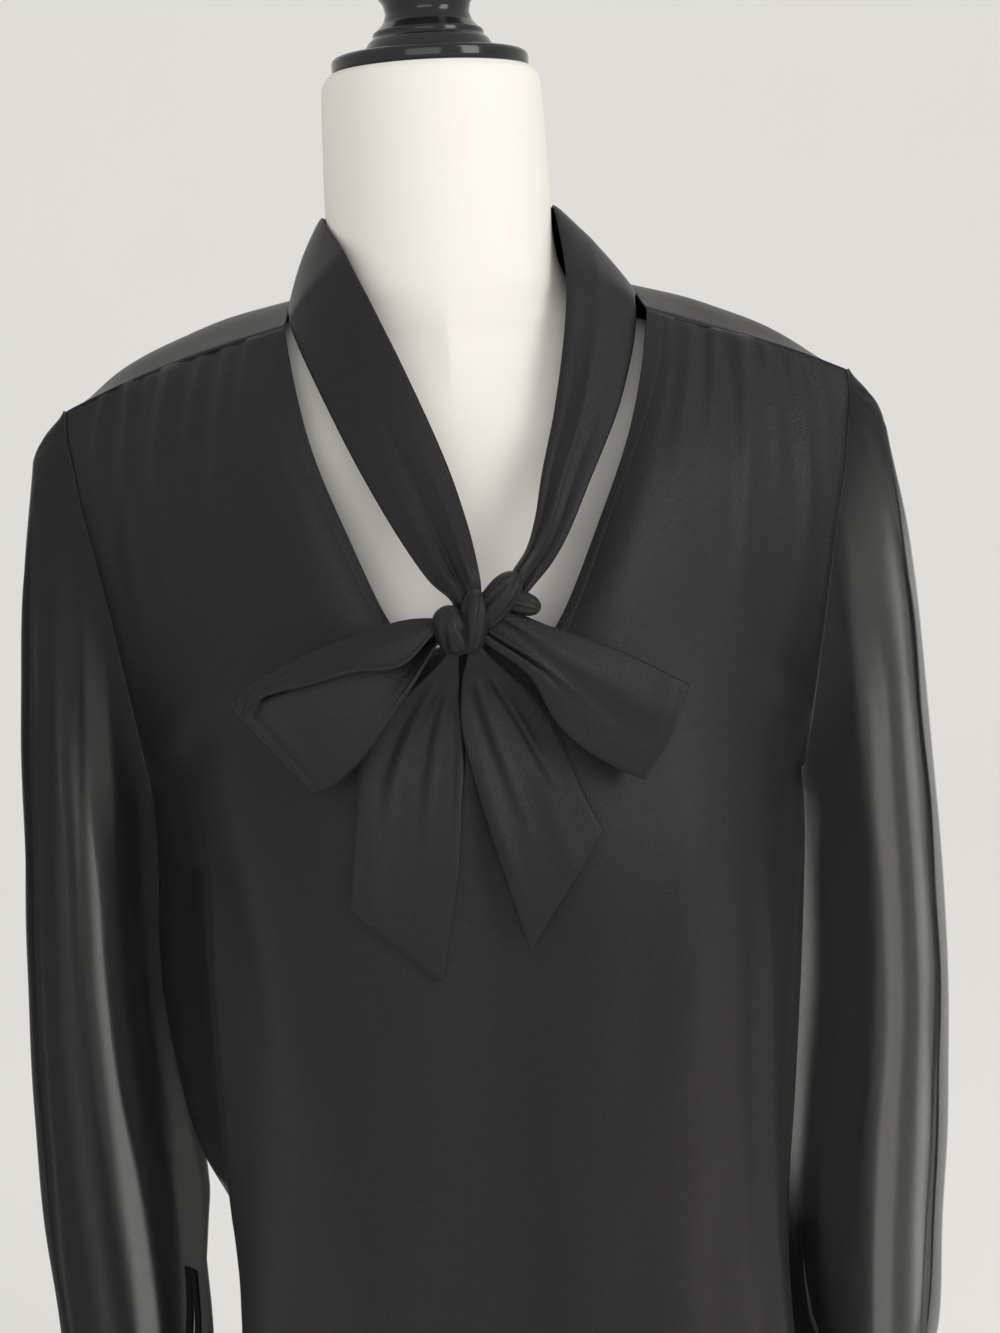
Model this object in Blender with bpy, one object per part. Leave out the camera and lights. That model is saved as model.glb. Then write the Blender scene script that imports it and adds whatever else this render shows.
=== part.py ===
"""A tie neck blouse on a limbless counter-top dress form.

Sizes are in millimetres and are turned into metres where a mesh is made. Z is up, the
blouse faces -Y and its wearer's left is +X. The origin lies on the surface that the form
stands on, under the form's pole. The blouse hangs a little off the form's centre, by
BLOUSE_SHIFT. Every piece of cloth is a wall along a surface, and a surface is a smooth
curve both ways through a short table of places.
"""

import math

import bpy
from mathutils import Vector

MM = 0.001

BLOUSE_SHIFT = 5.5
BODY_WALL = 1.6
SLEEVE_WALL = 1.2
TIE_WALL = 1.5
CUFF_WALL = 1.8
BINDING_WALL = 1.0
SEAM_INSET = 0.17
ARMHOLE_INSET = 0.42
ARMPIT_EASE = 0.2
LAID_GAP = 0.35
LONGEST_MITRE = 1.5

# Rows of the body panels: this many from the hem to the armpit, then up to the shoulder.
ROWS_BELOW = 8
ROWS_ABOVE = 14
FRONT_COLUMNS = 22
BACK_COLUMNS = 11
SLEEVE_COLUMNS = 2 * ROWS_ABOVE

GATHER_WAVES = 5.5
GATHER_DEPTH = 1.5
GATHER_START = 14.0
GATHER_LENGTH = 95.0
GATHER_EDGES = (0.04, 0.14, 0.84, 0.96)
SLEEVE_FOLDS = 6
SLEEVE_FOLD_DEPTH = 4.5
SLEEVE_FOLD_ROWS = (1, 4, 8, 9)
SLEEVE_FOLD_LEAN = 0.25
SLEEVE_FOLD_LAG = {-1: 0.8, 1: 0.0}
INNER_FOLD_SHARE = 0.35
LOW_FOLD_SHARE = 0.15
HEM_FOLD_DEPTH = 3.5
HEM_FOLD_HEIGHTS = (300.0, 600.0)

# Waves across the hem: share of the depth, length over two pi, and lag.
HEM_WAVES = ((0.6, 19.0, 0.0), (0.3, 9.5, 1.0))
HEM_LAG_BEHIND = 40.0

CUFF_TOP = 311.6
CUFF_BOTTOM = 262.0
CUFF_OVERLAP = 0.07
CUFF_STEP = 2.3
CUFF_COLUMNS = 30
SLIT_COLUMN = 18
SLIT_HALF_WIDTH = 3.0
BINDING_WIDTH = 5.0
BINDING_RISE = 1.0
BINDING_GAP = 0.7

# Button, from the face laid on the cuff outwards to its dished front: radius and height.
BUTTON_PROFILE = [(5.0, 0.0), (5.5, 0.6), (5.5, 1.5), (4.6, 2.4), (3.1, 1.7)]
BUTTON_SIDES = 20

# Front half panel from the hem up to the shoulder seam. Columns: centre or neckline,
# inner bust, outer bust, front fold, side seam or armhole. Each place is x, y, z.
FRONT = [
    ((0, -127, 240), (52, -131, 240), (101, -120, 240), (147, -84, 240), (158, 4, 240)),
    ((0, -127, 330), (50, -131, 330), (97, -119, 330), (139, -83, 330), (150, 4, 330)),
    ((0, -128, 420), (50, -131, 420), (94, -119, 420), (132, -81, 420), (140, 4, 420)),
    ((0, -130, 480), (50, -133, 480), (94, -120, 480), (131, -80, 480), (149, 4, 480)),
    ((0, -133, 560), (50, -137, 560), (96, -123, 560), (133, -80, 560), (167, 3, 560)),
    ((0, -135, 640), (50, -140, 640), (98, -124, 640), (134, -79, 640), (170, 0, 625)),
    ((0, -133, 680), (51, -136, 680), (99, -118, 680), (138, -76, 676), (169, 0, 660)),
    ((0, -123, 728), (56, -124, 722), (102, -106, 720), (142, -73, 706), (167, -32, 683)),
    ((22, -118, 741), (62, -118, 752), (106, -96, 754), (146, -68, 745), (171.5, -46, 731)),
    ((39, -112, 763), (70, -109, 783), (110, -88, 788), (148, -64, 788), (180, -44, 785)),
    ((57, -94, 802), (82, -91, 820), (115, -76, 824), (151, -57, 822), (187, -37, 818)),
    ((70, -74, 838), (92, -72, 848), (121, -60, 850), (155, -45, 846), (192, -25, 843)),
    ((80, -55, 870), (102, -52, 872), (130, -43, 870), (161, -33, 862), (194, -20, 854)),
    ((87, -33, 900), (112, -30, 893), (140, -26, 885), (167, -22, 876), (194, -16, 865)),
]
POINT_OF_V = 7
ARMPIT = 6

# Back half panel, from the same side seam to the centre back and the back neckline. Its
# last rows come forward over the shoulder to the shoulder seam.
BACK = [
    ((158, 4, 240), (134, 80, 240), (76, 120, 240), (0, 126, 240)),
    ((150, 4, 330), (128, 76, 330), (73, 114, 330), (0, 120, 330)),
    ((140, 4, 420), (118, 67, 420), (67, 100, 420), (0, 106, 420)),
    ((149, 4, 480), (120, 63, 480), (65, 94, 480), (0, 99, 480)),
    ((167, 3, 560), (136, 67, 560), (71, 98, 560), (0, 100, 560)),
    ((170, 0, 625), (144, 74, 635), (78, 108, 640), (0, 107, 640)),
    ((169, 0, 660), (144, 78, 675), (78, 110, 690), (0, 109, 695)),
    ((168.5, 32, 682), (144, 82, 706), (77, 112, 735), (0, 110, 745)),
    ((174, 51, 725), (146, 84, 752), (78, 110, 782), (0, 106, 800)),
    ((180, 55, 772), (149, 82, 798), (81, 102, 828), (0, 95, 856)),
    ((187, 52, 808), (154, 74, 834), (88, 86, 868), (0, 76, 904)),
    ((192, 40, 838), (162, 54, 862), (108, 64, 892), (46, 62, 910)),
    ((195, 16, 860), (168, 16, 882), (126, 16, 902), (80, 18, 914)),
    ((194, -16, 865), (160, -23, 878), (122, -29, 890), (87, -33, 900)),
]
BACK_NECK = 10

# How far the neckline lies from the first column on each side, from the row in the key.
NECK_SHIFT = {
    (-1, 9): 1.5, (-1, 10): 0.6, (-1, 11): 1.5, (-1, 12): -1.0, (-1, 13): -3.5,
    (1, 9): -1.5, (1, 10): 0.4, (1, 11): 4.5, (1, 12): 5.0, (1, 13): 5.0,
}
BACK_NECK_SHIFT = {
    (-1, 11): -1.5, (-1, 12): -3.0, (-1, 13): -3.5,
    (1, 11): 1.5, (1, 12): 4.0, (1, 13): 5.0,
}

# How far the side seam lies out from both tables, which hold it at its narrowest.
SEAM_SHIFT = {
    (-1, 2): 2.0, (-1, 3): 14.0, (-1, 4): 6.0,
    (1, 1): 5.0, (1, 2): 17.0, (1, 3): 13.0, (1, 4): 0.5,
}

# Sleeve sections below the armhole: outer x and z, inner x and z, front y, back y.
SLEEVE = [
    (213, 842, 177, 654, -54, 62),
    (222, 788, 178, 634, -62, 68),
    (229, 716, 176, 604, -64, 68),
    (235, 640, 177, 566, -62, 65),
    (239, 560, 174.5, 520, -60, 62),
    (239, 482, 166, 464, -58, 60),
    (236, 410, 162, 405, -56, 58),
    (233, 356, 162, 356, -54, 56),
    (229, 328, 166, 328, -47, 48),
    (223, 312.35, 169, 312.35, -40, 40),
]
SLEEVE_SPREAD = {-1: 7.0, 1: 0.0}
SPREAD_ROWS = (3, 6, 7.5, 9)
SLEEVE_STOPS = (0, 0.5, 1, 1.6, 2.3, 3, 3.7, 4.4, 5.2, 6, 6.7, 7.35, 8.1, 9, 10)
SLIT_STOP = 11
ARMPIT_EASE_POINTS = 3

# The tie on its way from the knot to the shoulder: inner edge x, y, z, outer edge x, y, z.
STRANDS = {
    -1: [
        (5.2, -139.5, 781.6, -8, -140.4, 778.1),
        (4, -118, 797, -22, -119, 792),
        (-3.5, -94, 829, -44.5, -91, 832),
        (-23.5, -72, 881, -63, -61, 871),
        (-41, -50, 920, -73.5, -38, 896),
        (-49, -34, 937, -75.5, -27, 905),
    ],
    1: [
        (19.8, -139, 788.4, 28.5, -139.5, 782.4),
        (31, -112, 801, 43, -116, 795),
        (37.5, -94, 824, 56, -98, 816),
        (48.5, -71, 860, 79, -65, 857),
        (57, -49, 900, 90.5, -39, 889),
        (59, -30, 926, 92.5, -27, 905),
    ],
}
STRAND_STATIONS = 8
STAND_LAST = ROWS_BELOW + ROWS_ABOVE - 1
STAND_TOP_Z = 951.0
STAND_TOP_RISE_BEHIND = 5.0
STAND_TOP_X = 58.0
STAND_TOP_FRONT = 57.0
STAND_TOP_BACK = 60.5
BAND_COLUMNS = 4
BAND_CROWN = 2.0
BAND_FULL_WIDTH = 40.0
NECKLINE_HALF_WIDTH = 84.0
NECKLINE_DEPTH = 74.0

# Bow loops on the wearer's sides, from the knot outwards. Columns: x, y, z of the upper
# edge, of the fold that stands forward, of the crease behind it, and of the lower edge.
LOOPS = {
    "right": [
        (-14.4, -143, 770, -14.5, -146, 767, -14.4, -144, 764, -14.0, -145, 761),
        (-29, -143, 770, -31, -152, 753, -31, -145, 757, -28, -148, 741),
        (-51, -143, 765, -52, -153, 751, -52, -146, 756, -45, -150, 718),
        (-72, -144, 758, -74, -152, 746, -74, -147, 750, -58, -150, 705),
        (-92, -145, 749, -92, -150, 742, -92, -147, 743, -66, -149, 699),
        (-105, -146, 740, -102, -147, 734, -100, -147, 731, -71, -148, 697),
    ],
    "left": [
        (18.8, -143, 771.2, 14, -144.5, 768, 9, -144.5, 763.8, 4.6, -144.5, 760),
        (34, -143, 764, 31, -148.5, 757, 28, -147, 751, 24, -147, 744),
        (48, -143, 758.5, 46, -149, 748, 42, -147.5, 739, 34, -148, 724),
        (64, -144, 752, 62, -149, 738, 57, -148, 725, 45, -149, 711),
        (80, -145, 743.5, 76, -149, 728, 71, -148.5, 714, 59, -149, 701),
        (94, -146, 735.5, 89, -148.5, 723, 83, -148.5, 709, 72, -148, 694),
    ],
}
LOOP_OUTWARD = {"right": Vector((-0.85, 0, -0.5)), "left": Vector((0.88, 0, -0.47))}
LOOP_SHARES = (0.0, 0.3, 0.45, 1.0)
LOOP_STATIONS = 7
LOOP_COLUMNS = 6
LOOP_DEPTH = 5.0
LOOP_FOLD_REACH = 2.2

# Tails on the wearer's sides, from the knot down: x and z of the edge towards -X, of the
# edge towards +X, and how far in front of the front panel's depth at that height.
TAILS = {
    "right": [
        (-12.5, 752.5, -6, 753.8, 23.5),
        (-38, 727, -6, 731, 10),
        (-52, 706, -5.5, 706, 4.2),
        (-56, 682, -8, 684, 3.3),
        (-59, 660, -12, 650, 3.3),
        (-61, 641, -21.5, 603, 3.5),
    ],
    "left": [
        (-2, 753.5, 5, 755.6, 25),
        (-5, 740, 15, 744, 16),
        (-6.3, 720, 29, 729, 9.5),
        (-2.5, 697, 38.5, 711, 6.4),
        (5.5, 665, 45.5, 689, 5.6),
        (18.5, 617, 54.5, 670, 5.6),
    ],
}
TAIL_STATIONS = 9
TAIL_COLUMNS = 4

# Knot pieces: centre, half sizes, tilt about Y.
KNOTS = {
    "bow_knot_wrap": ((-4.6, -143.5, 766.4), (9.4, 8.6, 12.4), 0.0),
    "bow_knot_cross": ((13.5, -141.5, 777.2), (6.8, 7.2, 11.5), math.radians(40)),
}
KNOT_RINGS = 10
KNOT_SIDES = 16
KNOT_FULLNESS = 2.6

# Dress form: height, half width, front, back, and how square the section is.
FORM = [
    (225, 118, 78, 84, 2.3),
    (232, 132, 90, 96, 2.3),
    (246, 139, 96, 103, 2.3),
    (300, 138, 97, 104, 2.3),
    (350, 130, 92, 96, 2.2),
    (400, 118, 86, 86, 2.2),
    (440, 110, 83, 76, 2.2),
    (490, 113, 86, 74, 2.2),
    (550, 126, 96, 80, 2.2),
    (610, 140, 108, 90, 2.2),
    (655, 146, 113, 97, 2.2),
    (700, 149, 106, 101, 2.2),
    (745, 152, 94, 101, 2.2),
    (790, 164, 78, 95, 2.2),
    (820, 176, 69, 88, 2.0),
    (840, 182, 64, 80, 1.8),
    (855, 180, 60, 72, 1.5),
    (868, 168, 56, 67, 1.3),
    (880, 147, 54, 63, 1.2),
    (892, 108, 53, 60, 1.25),
    (904, 75, 53, 58.5, 1.55),
    (918, 61.5, 53, 57.5, 1.9),
    (938, 56.3, 53, 56, 2.0),
    (965, 55.6, 53.5, 55.5, 2.0),
    (1006, 54.1, 53.5, 54.5, 2.0),
    (1015, 52.5, 52, 53, 2.0),
    (1019, 49, 49, 49, 2.0),
]
FORM_SIDES = 28
BUST_X = 70.0
BUST_Z = 652.0
BUST_RISE = 12.8
BUST_SPREAD = 42.0

# Turned profiles: radius and height.
CAP_PROFILE = [
    (46.5, 1019.3), (48.2, 1020.5), (48.2, 1025.0), (46.6, 1026.6), (33.0, 1027.4),
    (31.6, 1030.0), (29.4, 1033.6), (27.2, 1035.0), (27.2, 1037.6), (25.4, 1038.8),
    (22.0, 1042.0), (20.4, 1046.5), (21.4, 1051.0), (24.4, 1055.0), (25.6, 1058.5),
    (24.2, 1061.5), (17.0, 1064.0), (15.4, 1067.0), (19.0, 1072.0), (21.0, 1079.0),
    (19.6, 1086.5), (14.6, 1092.5), (7.0, 1096.2),
]
POLE_PROFILE = [(16.0, 26.3), (16.0, 210.0), (26.0, 211.0), (26.0, 222.0), (24.0, 224.7)]
BASE_PROFILE = [
    (165.0, 0.0), (168.0, 2.5), (168.0, 7.0), (163.0, 11.5), (150.0, 13.5), (110.0, 16.0),
    (60.0, 20.5), (46.0, 22.0), (44.0, 26.0),
]
TURNED_SIDES = 24


def empty_scene():
    for old in list(bpy.data.objects):
        bpy.data.objects.remove(old, do_unlink=True)


def material(name, colour, roughness):
    made = bpy.data.materials.new(name)
    made.use_nodes = True
    shader = made.node_tree.nodes["Principled BSDF"]
    shader.inputs["Base Color"].default_value = (*colour, 1.0)
    shader.inputs["Roughness"].default_value = roughness
    shader.inputs["Metallic"].default_value = 0.0
    made.diffuse_color = (*colour, 1.0)
    return made


def add_object(name, places, faces, look, sharp_angle=40):
    mesh = bpy.data.meshes.new(name)
    mesh.from_pydata([tuple(c * MM for c in place) for place in places], [], faces)
    mesh.update()
    mesh.shade_smooth()
    mesh.set_sharp_from_angle(angle=math.radians(sharp_angle))
    mesh.materials.append(look)
    made = bpy.data.objects.new(name, mesh)
    bpy.context.scene.collection.objects.link(made)
    return made


def smooth_step(low, high, value):
    t = min(1.0, max(0.0, (value - low) / (high - low)))
    return t * t * (3 - 2 * t)


def curve_at(points, t, before=None, after=None):
    """The place at t, counted in points, on a smooth curve through them."""
    last = len(points) - 1
    index = min(max(int(t), 0), last - 1)
    f = t - index
    p1 = points[index]
    p2 = points[index + 1]
    if index > 0:
        p0 = points[index - 1]
    else:
        p0 = before if before is not None else p1 * 2 - p2
    if index + 2 <= last:
        p3 = points[index + 2]
    else:
        p3 = after if after is not None else p2 * 2 - p1
    square = f * f
    cube = square * f
    return 0.5 * (
        p1 * 2
        + (p2 - p0) * f
        + (p0 * 2 - p1 * 5 + p2 * 4 - p3) * square
        + (p1 * 3 - p0 - p2 * 3 + p3) * cube
    )


def mirror(place):
    return Vector((-place.x, place.y, place.z))


def edge_curve(column, row, split):
    """A column that runs up the centre line and turns along a neckline at split."""
    if row <= split:
        return curve_at(column[: split + 1], row)
    return curve_at(column[split:], row - split, before=mirror(column[split + 1]))


def side_curve(column, row, across):
    """A column up the side seam that turns at the armpit along the armhole."""
    if row <= ARMPIT:
        return curve_at(column[: ARMPIT + 1], row)
    return curve_at(column[ARMPIT:], row - ARMPIT, before=Vector(across))


def front_table(side):
    return shifted_table(FRONT, side, ((0, NECK_SHIFT), (-1, SEAM_SHIFT)))


def back_table(side):
    return shifted_table(BACK, side, ((-1, BACK_NECK_SHIFT), (0, SEAM_SHIFT)))


def shifted_table(rows, side, column_shifts):
    table = [[Vector(place) for place in row] for row in rows]
    for column, shifts in column_shifts:
        for (shift_side, row), shift in shifts.items():
            if shift_side == side:
                table[row][column].x += shift
    return table


def front_place(table, u, row):
    """The place at u across the front half panel, from 0 to 1, and at a row of its table."""
    columns = list(zip(*table))
    stops = [edge_curve(columns[0], row, POINT_OF_V)]
    stops += [curve_at(column, row) for column in columns[1:-1]]
    stops.append(side_curve(columns[-1], row, BACK[ARMPIT + 1][0]))
    before = mirror(stops[1]) if row <= POINT_OF_V else None
    return curve_at(stops, u * (len(stops) - 1), before=before)


def back_place(table, u, row):
    columns = list(zip(*table))
    stops = [side_curve(columns[0], row, FRONT[ARMPIT + 1][-1])]
    stops += [curve_at(column, row) for column in columns[1:-1]]
    stops.append(edge_curve(columns[-1], row, BACK_NECK))
    after = mirror(stops[-2]) if row <= BACK_NECK else None
    return curve_at(stops, u * (len(stops) - 1), after=after)


def table_row(j):
    """The row of the FRONT and BACK tables that grid row j lies at."""
    if j <= ROWS_BELOW:
        return ARMPIT * j / ROWS_BELOW
    return ARMPIT + (j - ROWS_BELOW) * (len(FRONT) - 1 - ARMPIT) / ROWS_ABOVE


def gather_depth(table, u, row):
    """Depth of the gathers that hang from the shoulder seam."""
    top = front_place(table, u, len(table) - 1)
    drop = top.z - front_place(table, u, row).z
    rise = smooth_step(0.0, GATHER_START, drop)
    rise *= 1 - smooth_step(GATHER_START, GATHER_LENGTH, drop)
    a, b, c, d = GATHER_EDGES
    edges = smooth_step(a, b, u) * (1 - smooth_step(c, d, u))
    return GATHER_DEPTH * rise * edges * math.sin(2 * math.pi * GATHER_WAVES * u)


def hem_depth(x, z):
    """Depth of the broad upright folds that deepen towards the hem."""
    wave = sum(share * math.sin(x / length + lag) for share, length, lag in HEM_WAVES)
    return HEM_FOLD_DEPTH * wave * (1 - smooth_step(*HEM_FOLD_HEIGHTS, z))


def new_surface():
    return {"points": {}, "faces": [], "inset": {}}


def grid_faces(columns, rows, flip):
    faces = []
    for i in range(columns):
        for j in range(rows):
            ring = [(i, j), (i + 1, j), (i + 1, j + 1), (i, j + 1)]
            faces.append(ring[::-1] if flip else ring)
    return faces


def add_inset(surface, key, towards, distance=SEAM_INSET):
    step = (surface["points"][towards] - surface["points"][key]).normalized() * distance
    surface["inset"][key] = surface["inset"].get(key, Vector((0, 0, 0))) + step


def add_half(surface, side, columns, place_at):
    rows = ROWS_BELOW + ROWS_ABOVE
    for i in range(columns + 1):
        for j in range(rows + 1):
            place = place_at(i, j)
            x = place.x * side + BLOUSE_SHIFT
            surface["points"][side, i, j] = Vector((x, place.y, place.z))
    for face in grid_faces(columns, rows, side < 0):
        surface["faces"].append([(side, i, j) for i, j in face])


def front_surface():
    surface = new_surface()
    top = ROWS_BELOW + ROWS_ABOVE
    for side in (-1, 1):
        table = front_table(side)

        def place_at(i, j):
            u = i / FRONT_COLUMNS
            place = front_place(table, u, table_row(j))
            place.y -= gather_depth(table, u, table_row(j))
            place.y -= hem_depth(place.x * side, place.z) * (1 - smooth_step(0.75, 1.0, u))
            return place

        add_half(surface, side, FRONT_COLUMNS, place_at)
        for j in range(top + 1):
            distance = ARMHOLE_INSET if j >= ROWS_BELOW else SEAM_INSET
            add_inset(surface, (side, FRONT_COLUMNS, j), (side, FRONT_COLUMNS - 1, j), distance)
        for i in range(FRONT_COLUMNS + 1):
            add_inset(surface, (side, i, top), (side, i, top - 1))
    return surface


def back_surface():
    surface = new_surface()
    top = ROWS_BELOW + ROWS_ABOVE
    step = FRONT_COLUMNS // BACK_COLUMNS
    for side in (-1, 1):
        table = back_table(side)
        front = front_table(side)

        def place_at(i, j):
            if i == 0 and j <= ROWS_BELOW:
                return front_place(front, 1.0, table_row(j))
            if j == top:
                return front_place(front, 1 - i * step / FRONT_COLUMNS, table_row(j))
            u = i / BACK_COLUMNS
            place = back_place(table, u, table_row(j))
            lagged = place.x * side + HEM_LAG_BEHIND
            place.y += hem_depth(lagged, place.z) * smooth_step(0.0, 0.25, u)
            return place

        add_half(surface, side, BACK_COLUMNS, place_at)
        for j in range(top + 1):
            distance = ARMHOLE_INSET if j >= ROWS_BELOW else SEAM_INSET
            add_inset(surface, (side, 0, j), (side, 1, j), distance)
        for i in range(BACK_COLUMNS + 1):
            add_inset(surface, (side, i, top), (side, i, top - 1))
        for j in range(ROWS_BELOW, STAND_LAST + 1):
            if table_row(j) >= BACK_NECK:
                add_inset(surface, (side, BACK_COLUMNS, j), (side, BACK_COLUMNS - 1, j))
    return surface


def armhole(side, front, back):
    """The armhole's points: the shoulder tip, down the front, the armpit and up the back."""
    top = ROWS_BELOW + ROWS_ABOVE
    ring = [front["points"][side, FRONT_COLUMNS, j] for j in range(top, ROWS_BELOW - 1, -1)]
    ring += [back["points"][side, 0, j] for j in range(ROWS_BELOW + 1, top)]
    return ring


def sleeve_section(side, index, turn):
    """A point of a sleeve section; turn runs from the outer side by way of the front."""
    values = [Vector(row) for row in SLEEVE]
    outer_x, outer_z, inner_x, inner_z, front_y, back_y = curve_at(values, index)
    a, b, c, d = SPREAD_ROWS
    outer_x += SLEEVE_SPREAD[side] * smooth_step(a, b, index) * (1 - smooth_step(c, d, index))
    across = math.cos(turn)
    depth = front_y if math.sin(turn) > 0 else back_y
    x = (outer_x + inner_x) / 2 + (outer_x - inner_x) / 2 * across
    z = (outer_z + inner_z) / 2 + (outer_z - inner_z) / 2 * across
    return Vector((x, depth * abs(math.sin(turn)), z))


def fold_depth(side, index, turn):
    """Depth of the lengthwise folds, which lean a little on their way down."""
    a, b, c, d = SLEEVE_FOLD_ROWS
    rise = smooth_step(a, b, index) * (1 - (1 - LOW_FOLD_SHARE) * smooth_step(c, d, index))
    outer = INNER_FOLD_SHARE + (1 - INNER_FOLD_SHARE) * (1 + math.cos(turn)) / 2
    lean = SLEEVE_FOLD_LEAN * index + SLEEVE_FOLD_LAG[side]
    return SLEEVE_FOLD_DEPTH * rise * outer * math.sin(SLEEVE_FOLDS * turn + lean)


def sleeve_place(side, ring, k, stop):
    turn = 2 * math.pi * k / SLEEVE_COLUMNS
    start = Vector(((ring[k].x - BLOUSE_SHIFT) * side, ring[k].y, ring[k].z))
    if stop < 1:
        first = sleeve_section(side, 0, turn)
        second = sleeve_section(side, 1, turn)
        before = start * 2 - first
        return curve_at([start, first, second], stop, before=before)
    place = sleeve_section(side, stop - 1, turn)
    centre = sleeve_section(side, stop - 1, math.pi / 2)
    away = Vector((place.x - centre.x, place.y, 0)).normalized()
    return place + away * fold_depth(side, stop - 1, turn)


def sleeve_surface(side, ring):
    surface = new_surface()
    last = len(SLEEVE_STOPS) - 1
    points = surface["points"]
    for r, stop in enumerate(SLEEVE_STOPS):
        for k in range(SLEEVE_COLUMNS):
            place = sleeve_place(side, ring, k, stop)
            points[k, r] = Vector((place.x * side + BLOUSE_SHIFT, place.y, place.z))
    # Below the top of the slit its column parts into two edges.
    for r in range(SLIT_STOP + 1, last + 1):
        middle = points.pop((SLIT_COLUMN, r))
        along = (points[SLIT_COLUMN + 1, r] - points[SLIT_COLUMN - 1, r]).normalized()
        spread = SLIT_HALF_WIDTH * (r - SLIT_STOP) / (last - SLIT_STOP)
        points["before", r] = middle - along * spread
        points["after", r] = middle + along * spread

    def key(k, r, edge):
        if k == SLIT_COLUMN and r > SLIT_STOP:
            return (edge, r)
        return (k % SLEEVE_COLUMNS, r)

    for k in range(SLEEVE_COLUMNS):
        for r in range(last):
            left = "after" if k == SLIT_COLUMN else "before"
            face = [key(k, r, left), key(k + 1, r, "before")]
            face += [key(k + 1, r + 1, "before"), key(k, r + 1, left)]
            surface["faces"].append(face if side > 0 else face[::-1])
    for k in range(SLEEVE_COLUMNS):
        ease = ARMPIT_EASE * max(0, ARMPIT_EASE_POINTS - abs(k - ROWS_ABOVE))
        add_inset(surface, (k, 0), (k, 1), ARMHOLE_INSET + ease)
    return surface


def stand_top(base):
    """The top edge of the tie where it stands round the form's neck, above a neckline point."""
    depth = STAND_TOP_BACK if base.y > 0 else STAND_TOP_FRONT
    turn = math.atan2(base.y / NECKLINE_DEPTH, base.x / NECKLINE_HALF_WIDTH)
    rise = STAND_TOP_RISE_BEHIND * max(0.0, math.sin(turn))
    return Vector((STAND_TOP_X * math.cos(turn), depth * math.sin(turn), STAND_TOP_Z + rise))


def band_surface(back):
    """The tie from the knot round the neck and back, sewn on along the back neckline."""
    pairs = []
    for side in (-1, 1):
        rows = [(Vector(row[:3]), Vector(row[3:])) for row in STRANDS[side]]
        last = len(rows) - 1
        strand = []
        for station in range(STRAND_STATIONS):
            t = last * station / (STRAND_STATIONS - 1)
            strand.append(tuple(curve_at(edge, t) for edge in zip(*rows)))
        neck = []
        for j in range(STAND_LAST, ROWS_BELOW, -1):
            if table_row(j) >= BACK_NECK:
                base = back["points"][side, BACK_COLUMNS, j]
                neck.append((stand_top(base), base))
        half = strand + neck
        pairs = half if side < 0 else pairs[:-1] + half[::-1]
    surface = new_surface()
    for s, (inner, outer) in enumerate(pairs):
        before = pairs[max(s - 1, 0)]
        after = pairs[min(s + 1, len(pairs) - 1)]
        along = (after[0] + after[1]) - (before[0] + before[1])
        away = along.cross(outer - inner).normalized()
        for c in range(BAND_COLUMNS + 1):
            w = c / BAND_COLUMNS
            full = min(1.0, (outer - inner).length / BAND_FULL_WIDTH)
            crown = BAND_CROWN * math.sin(math.pi * w) * full
            surface["points"][s, c] = inner.lerp(outer, w) + away * crown
        if STRAND_STATIONS <= s < len(pairs) - STRAND_STATIONS:
            add_inset(surface, (s, BAND_COLUMNS), (s, BAND_COLUMNS - 1))
    surface["faces"] = grid_faces(len(pairs) - 1, BAND_COLUMNS, False)
    return surface


def merge_surfaces(surfaces):
    """Number the points of panels that meet, and return one step outwards at each.

    The step is longer than 1 where the cloth bends sharply, so that a wall keeps its
    thickness there.
    """
    numbers = {}
    places = []
    for surface in surfaces:
        surface["number"] = {}
        for key, place in surface["points"].items():
            rounded = tuple(round(c, 2) for c in place)
            if rounded not in numbers:
                numbers[rounded] = len(places)
                places.append(place)
            surface["number"][key] = numbers[rounded]
    facing = [[] for _ in places]
    for surface in surfaces:
        for face in surface["faces"]:
            corners = [places[surface["number"][key]] for key in face]
            across = (corners[2] - corners[0]).cross(corners[3] - corners[1]).normalized()
            for key in face:
                facing[surface["number"][key]].append(across)
    outwards = []
    for faces in facing:
        away = sum(faces, Vector((0, 0, 0))).normalized()
        lean = sum(away.dot(across) for across in faces) / len(faces)
        outwards.append(away / max(lean, 1 / LONGEST_MITRE))
    return outwards


def even_shoulder_seam(front, outwards):
    """Turn the front's seam points that the back lacks the way their neighbours face."""
    top = ROWS_BELOW + ROWS_ABOVE
    number = front["number"]
    for side in (-1, 1):
        for i in range(1, FRONT_COLUMNS, 2):
            near = outwards[number[side, i - 1, top]] + outwards[number[side, i + 1, top]]
            outwards[number[side, i, top]] = near / 2


def add_wall(name, surface, outwards, thickness, look):
    """A closed wall along one surface, pulled back from its seams."""
    order = {}
    middle = []
    for key, place in surface["points"].items():
        number = surface["number"][key]
        if number not in order:
            order[number] = len(middle)
            inset = surface["inset"].get(key, Vector((0, 0, 0)))
            middle.append((place + inset, outwards[number]))
    half = thickness / 2
    places = [place + away * half for place, away in middle]
    places += [place - away * half for place, away in middle]
    count = len(middle)
    faces = []
    borders = set()
    for face in surface["faces"]:
        ring = [order[surface["number"][key]] for key in face]
        faces.append(ring)
        faces.append([number + count for number in reversed(ring)])
        for a, b in zip(ring, ring[1:] + ring[:1]):
            if (b, a) in borders:
                borders.remove((b, a))
            else:
                borders.add((a, b))
    for a, b in sorted(borders):
        faces.append([b, a, a + count, b + count])
    return add_object(name, places, faces, look)


def add_single_wall(name, surface, thickness, look):
    return add_wall(name, surface, merge_surfaces([surface]), thickness, look)


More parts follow.
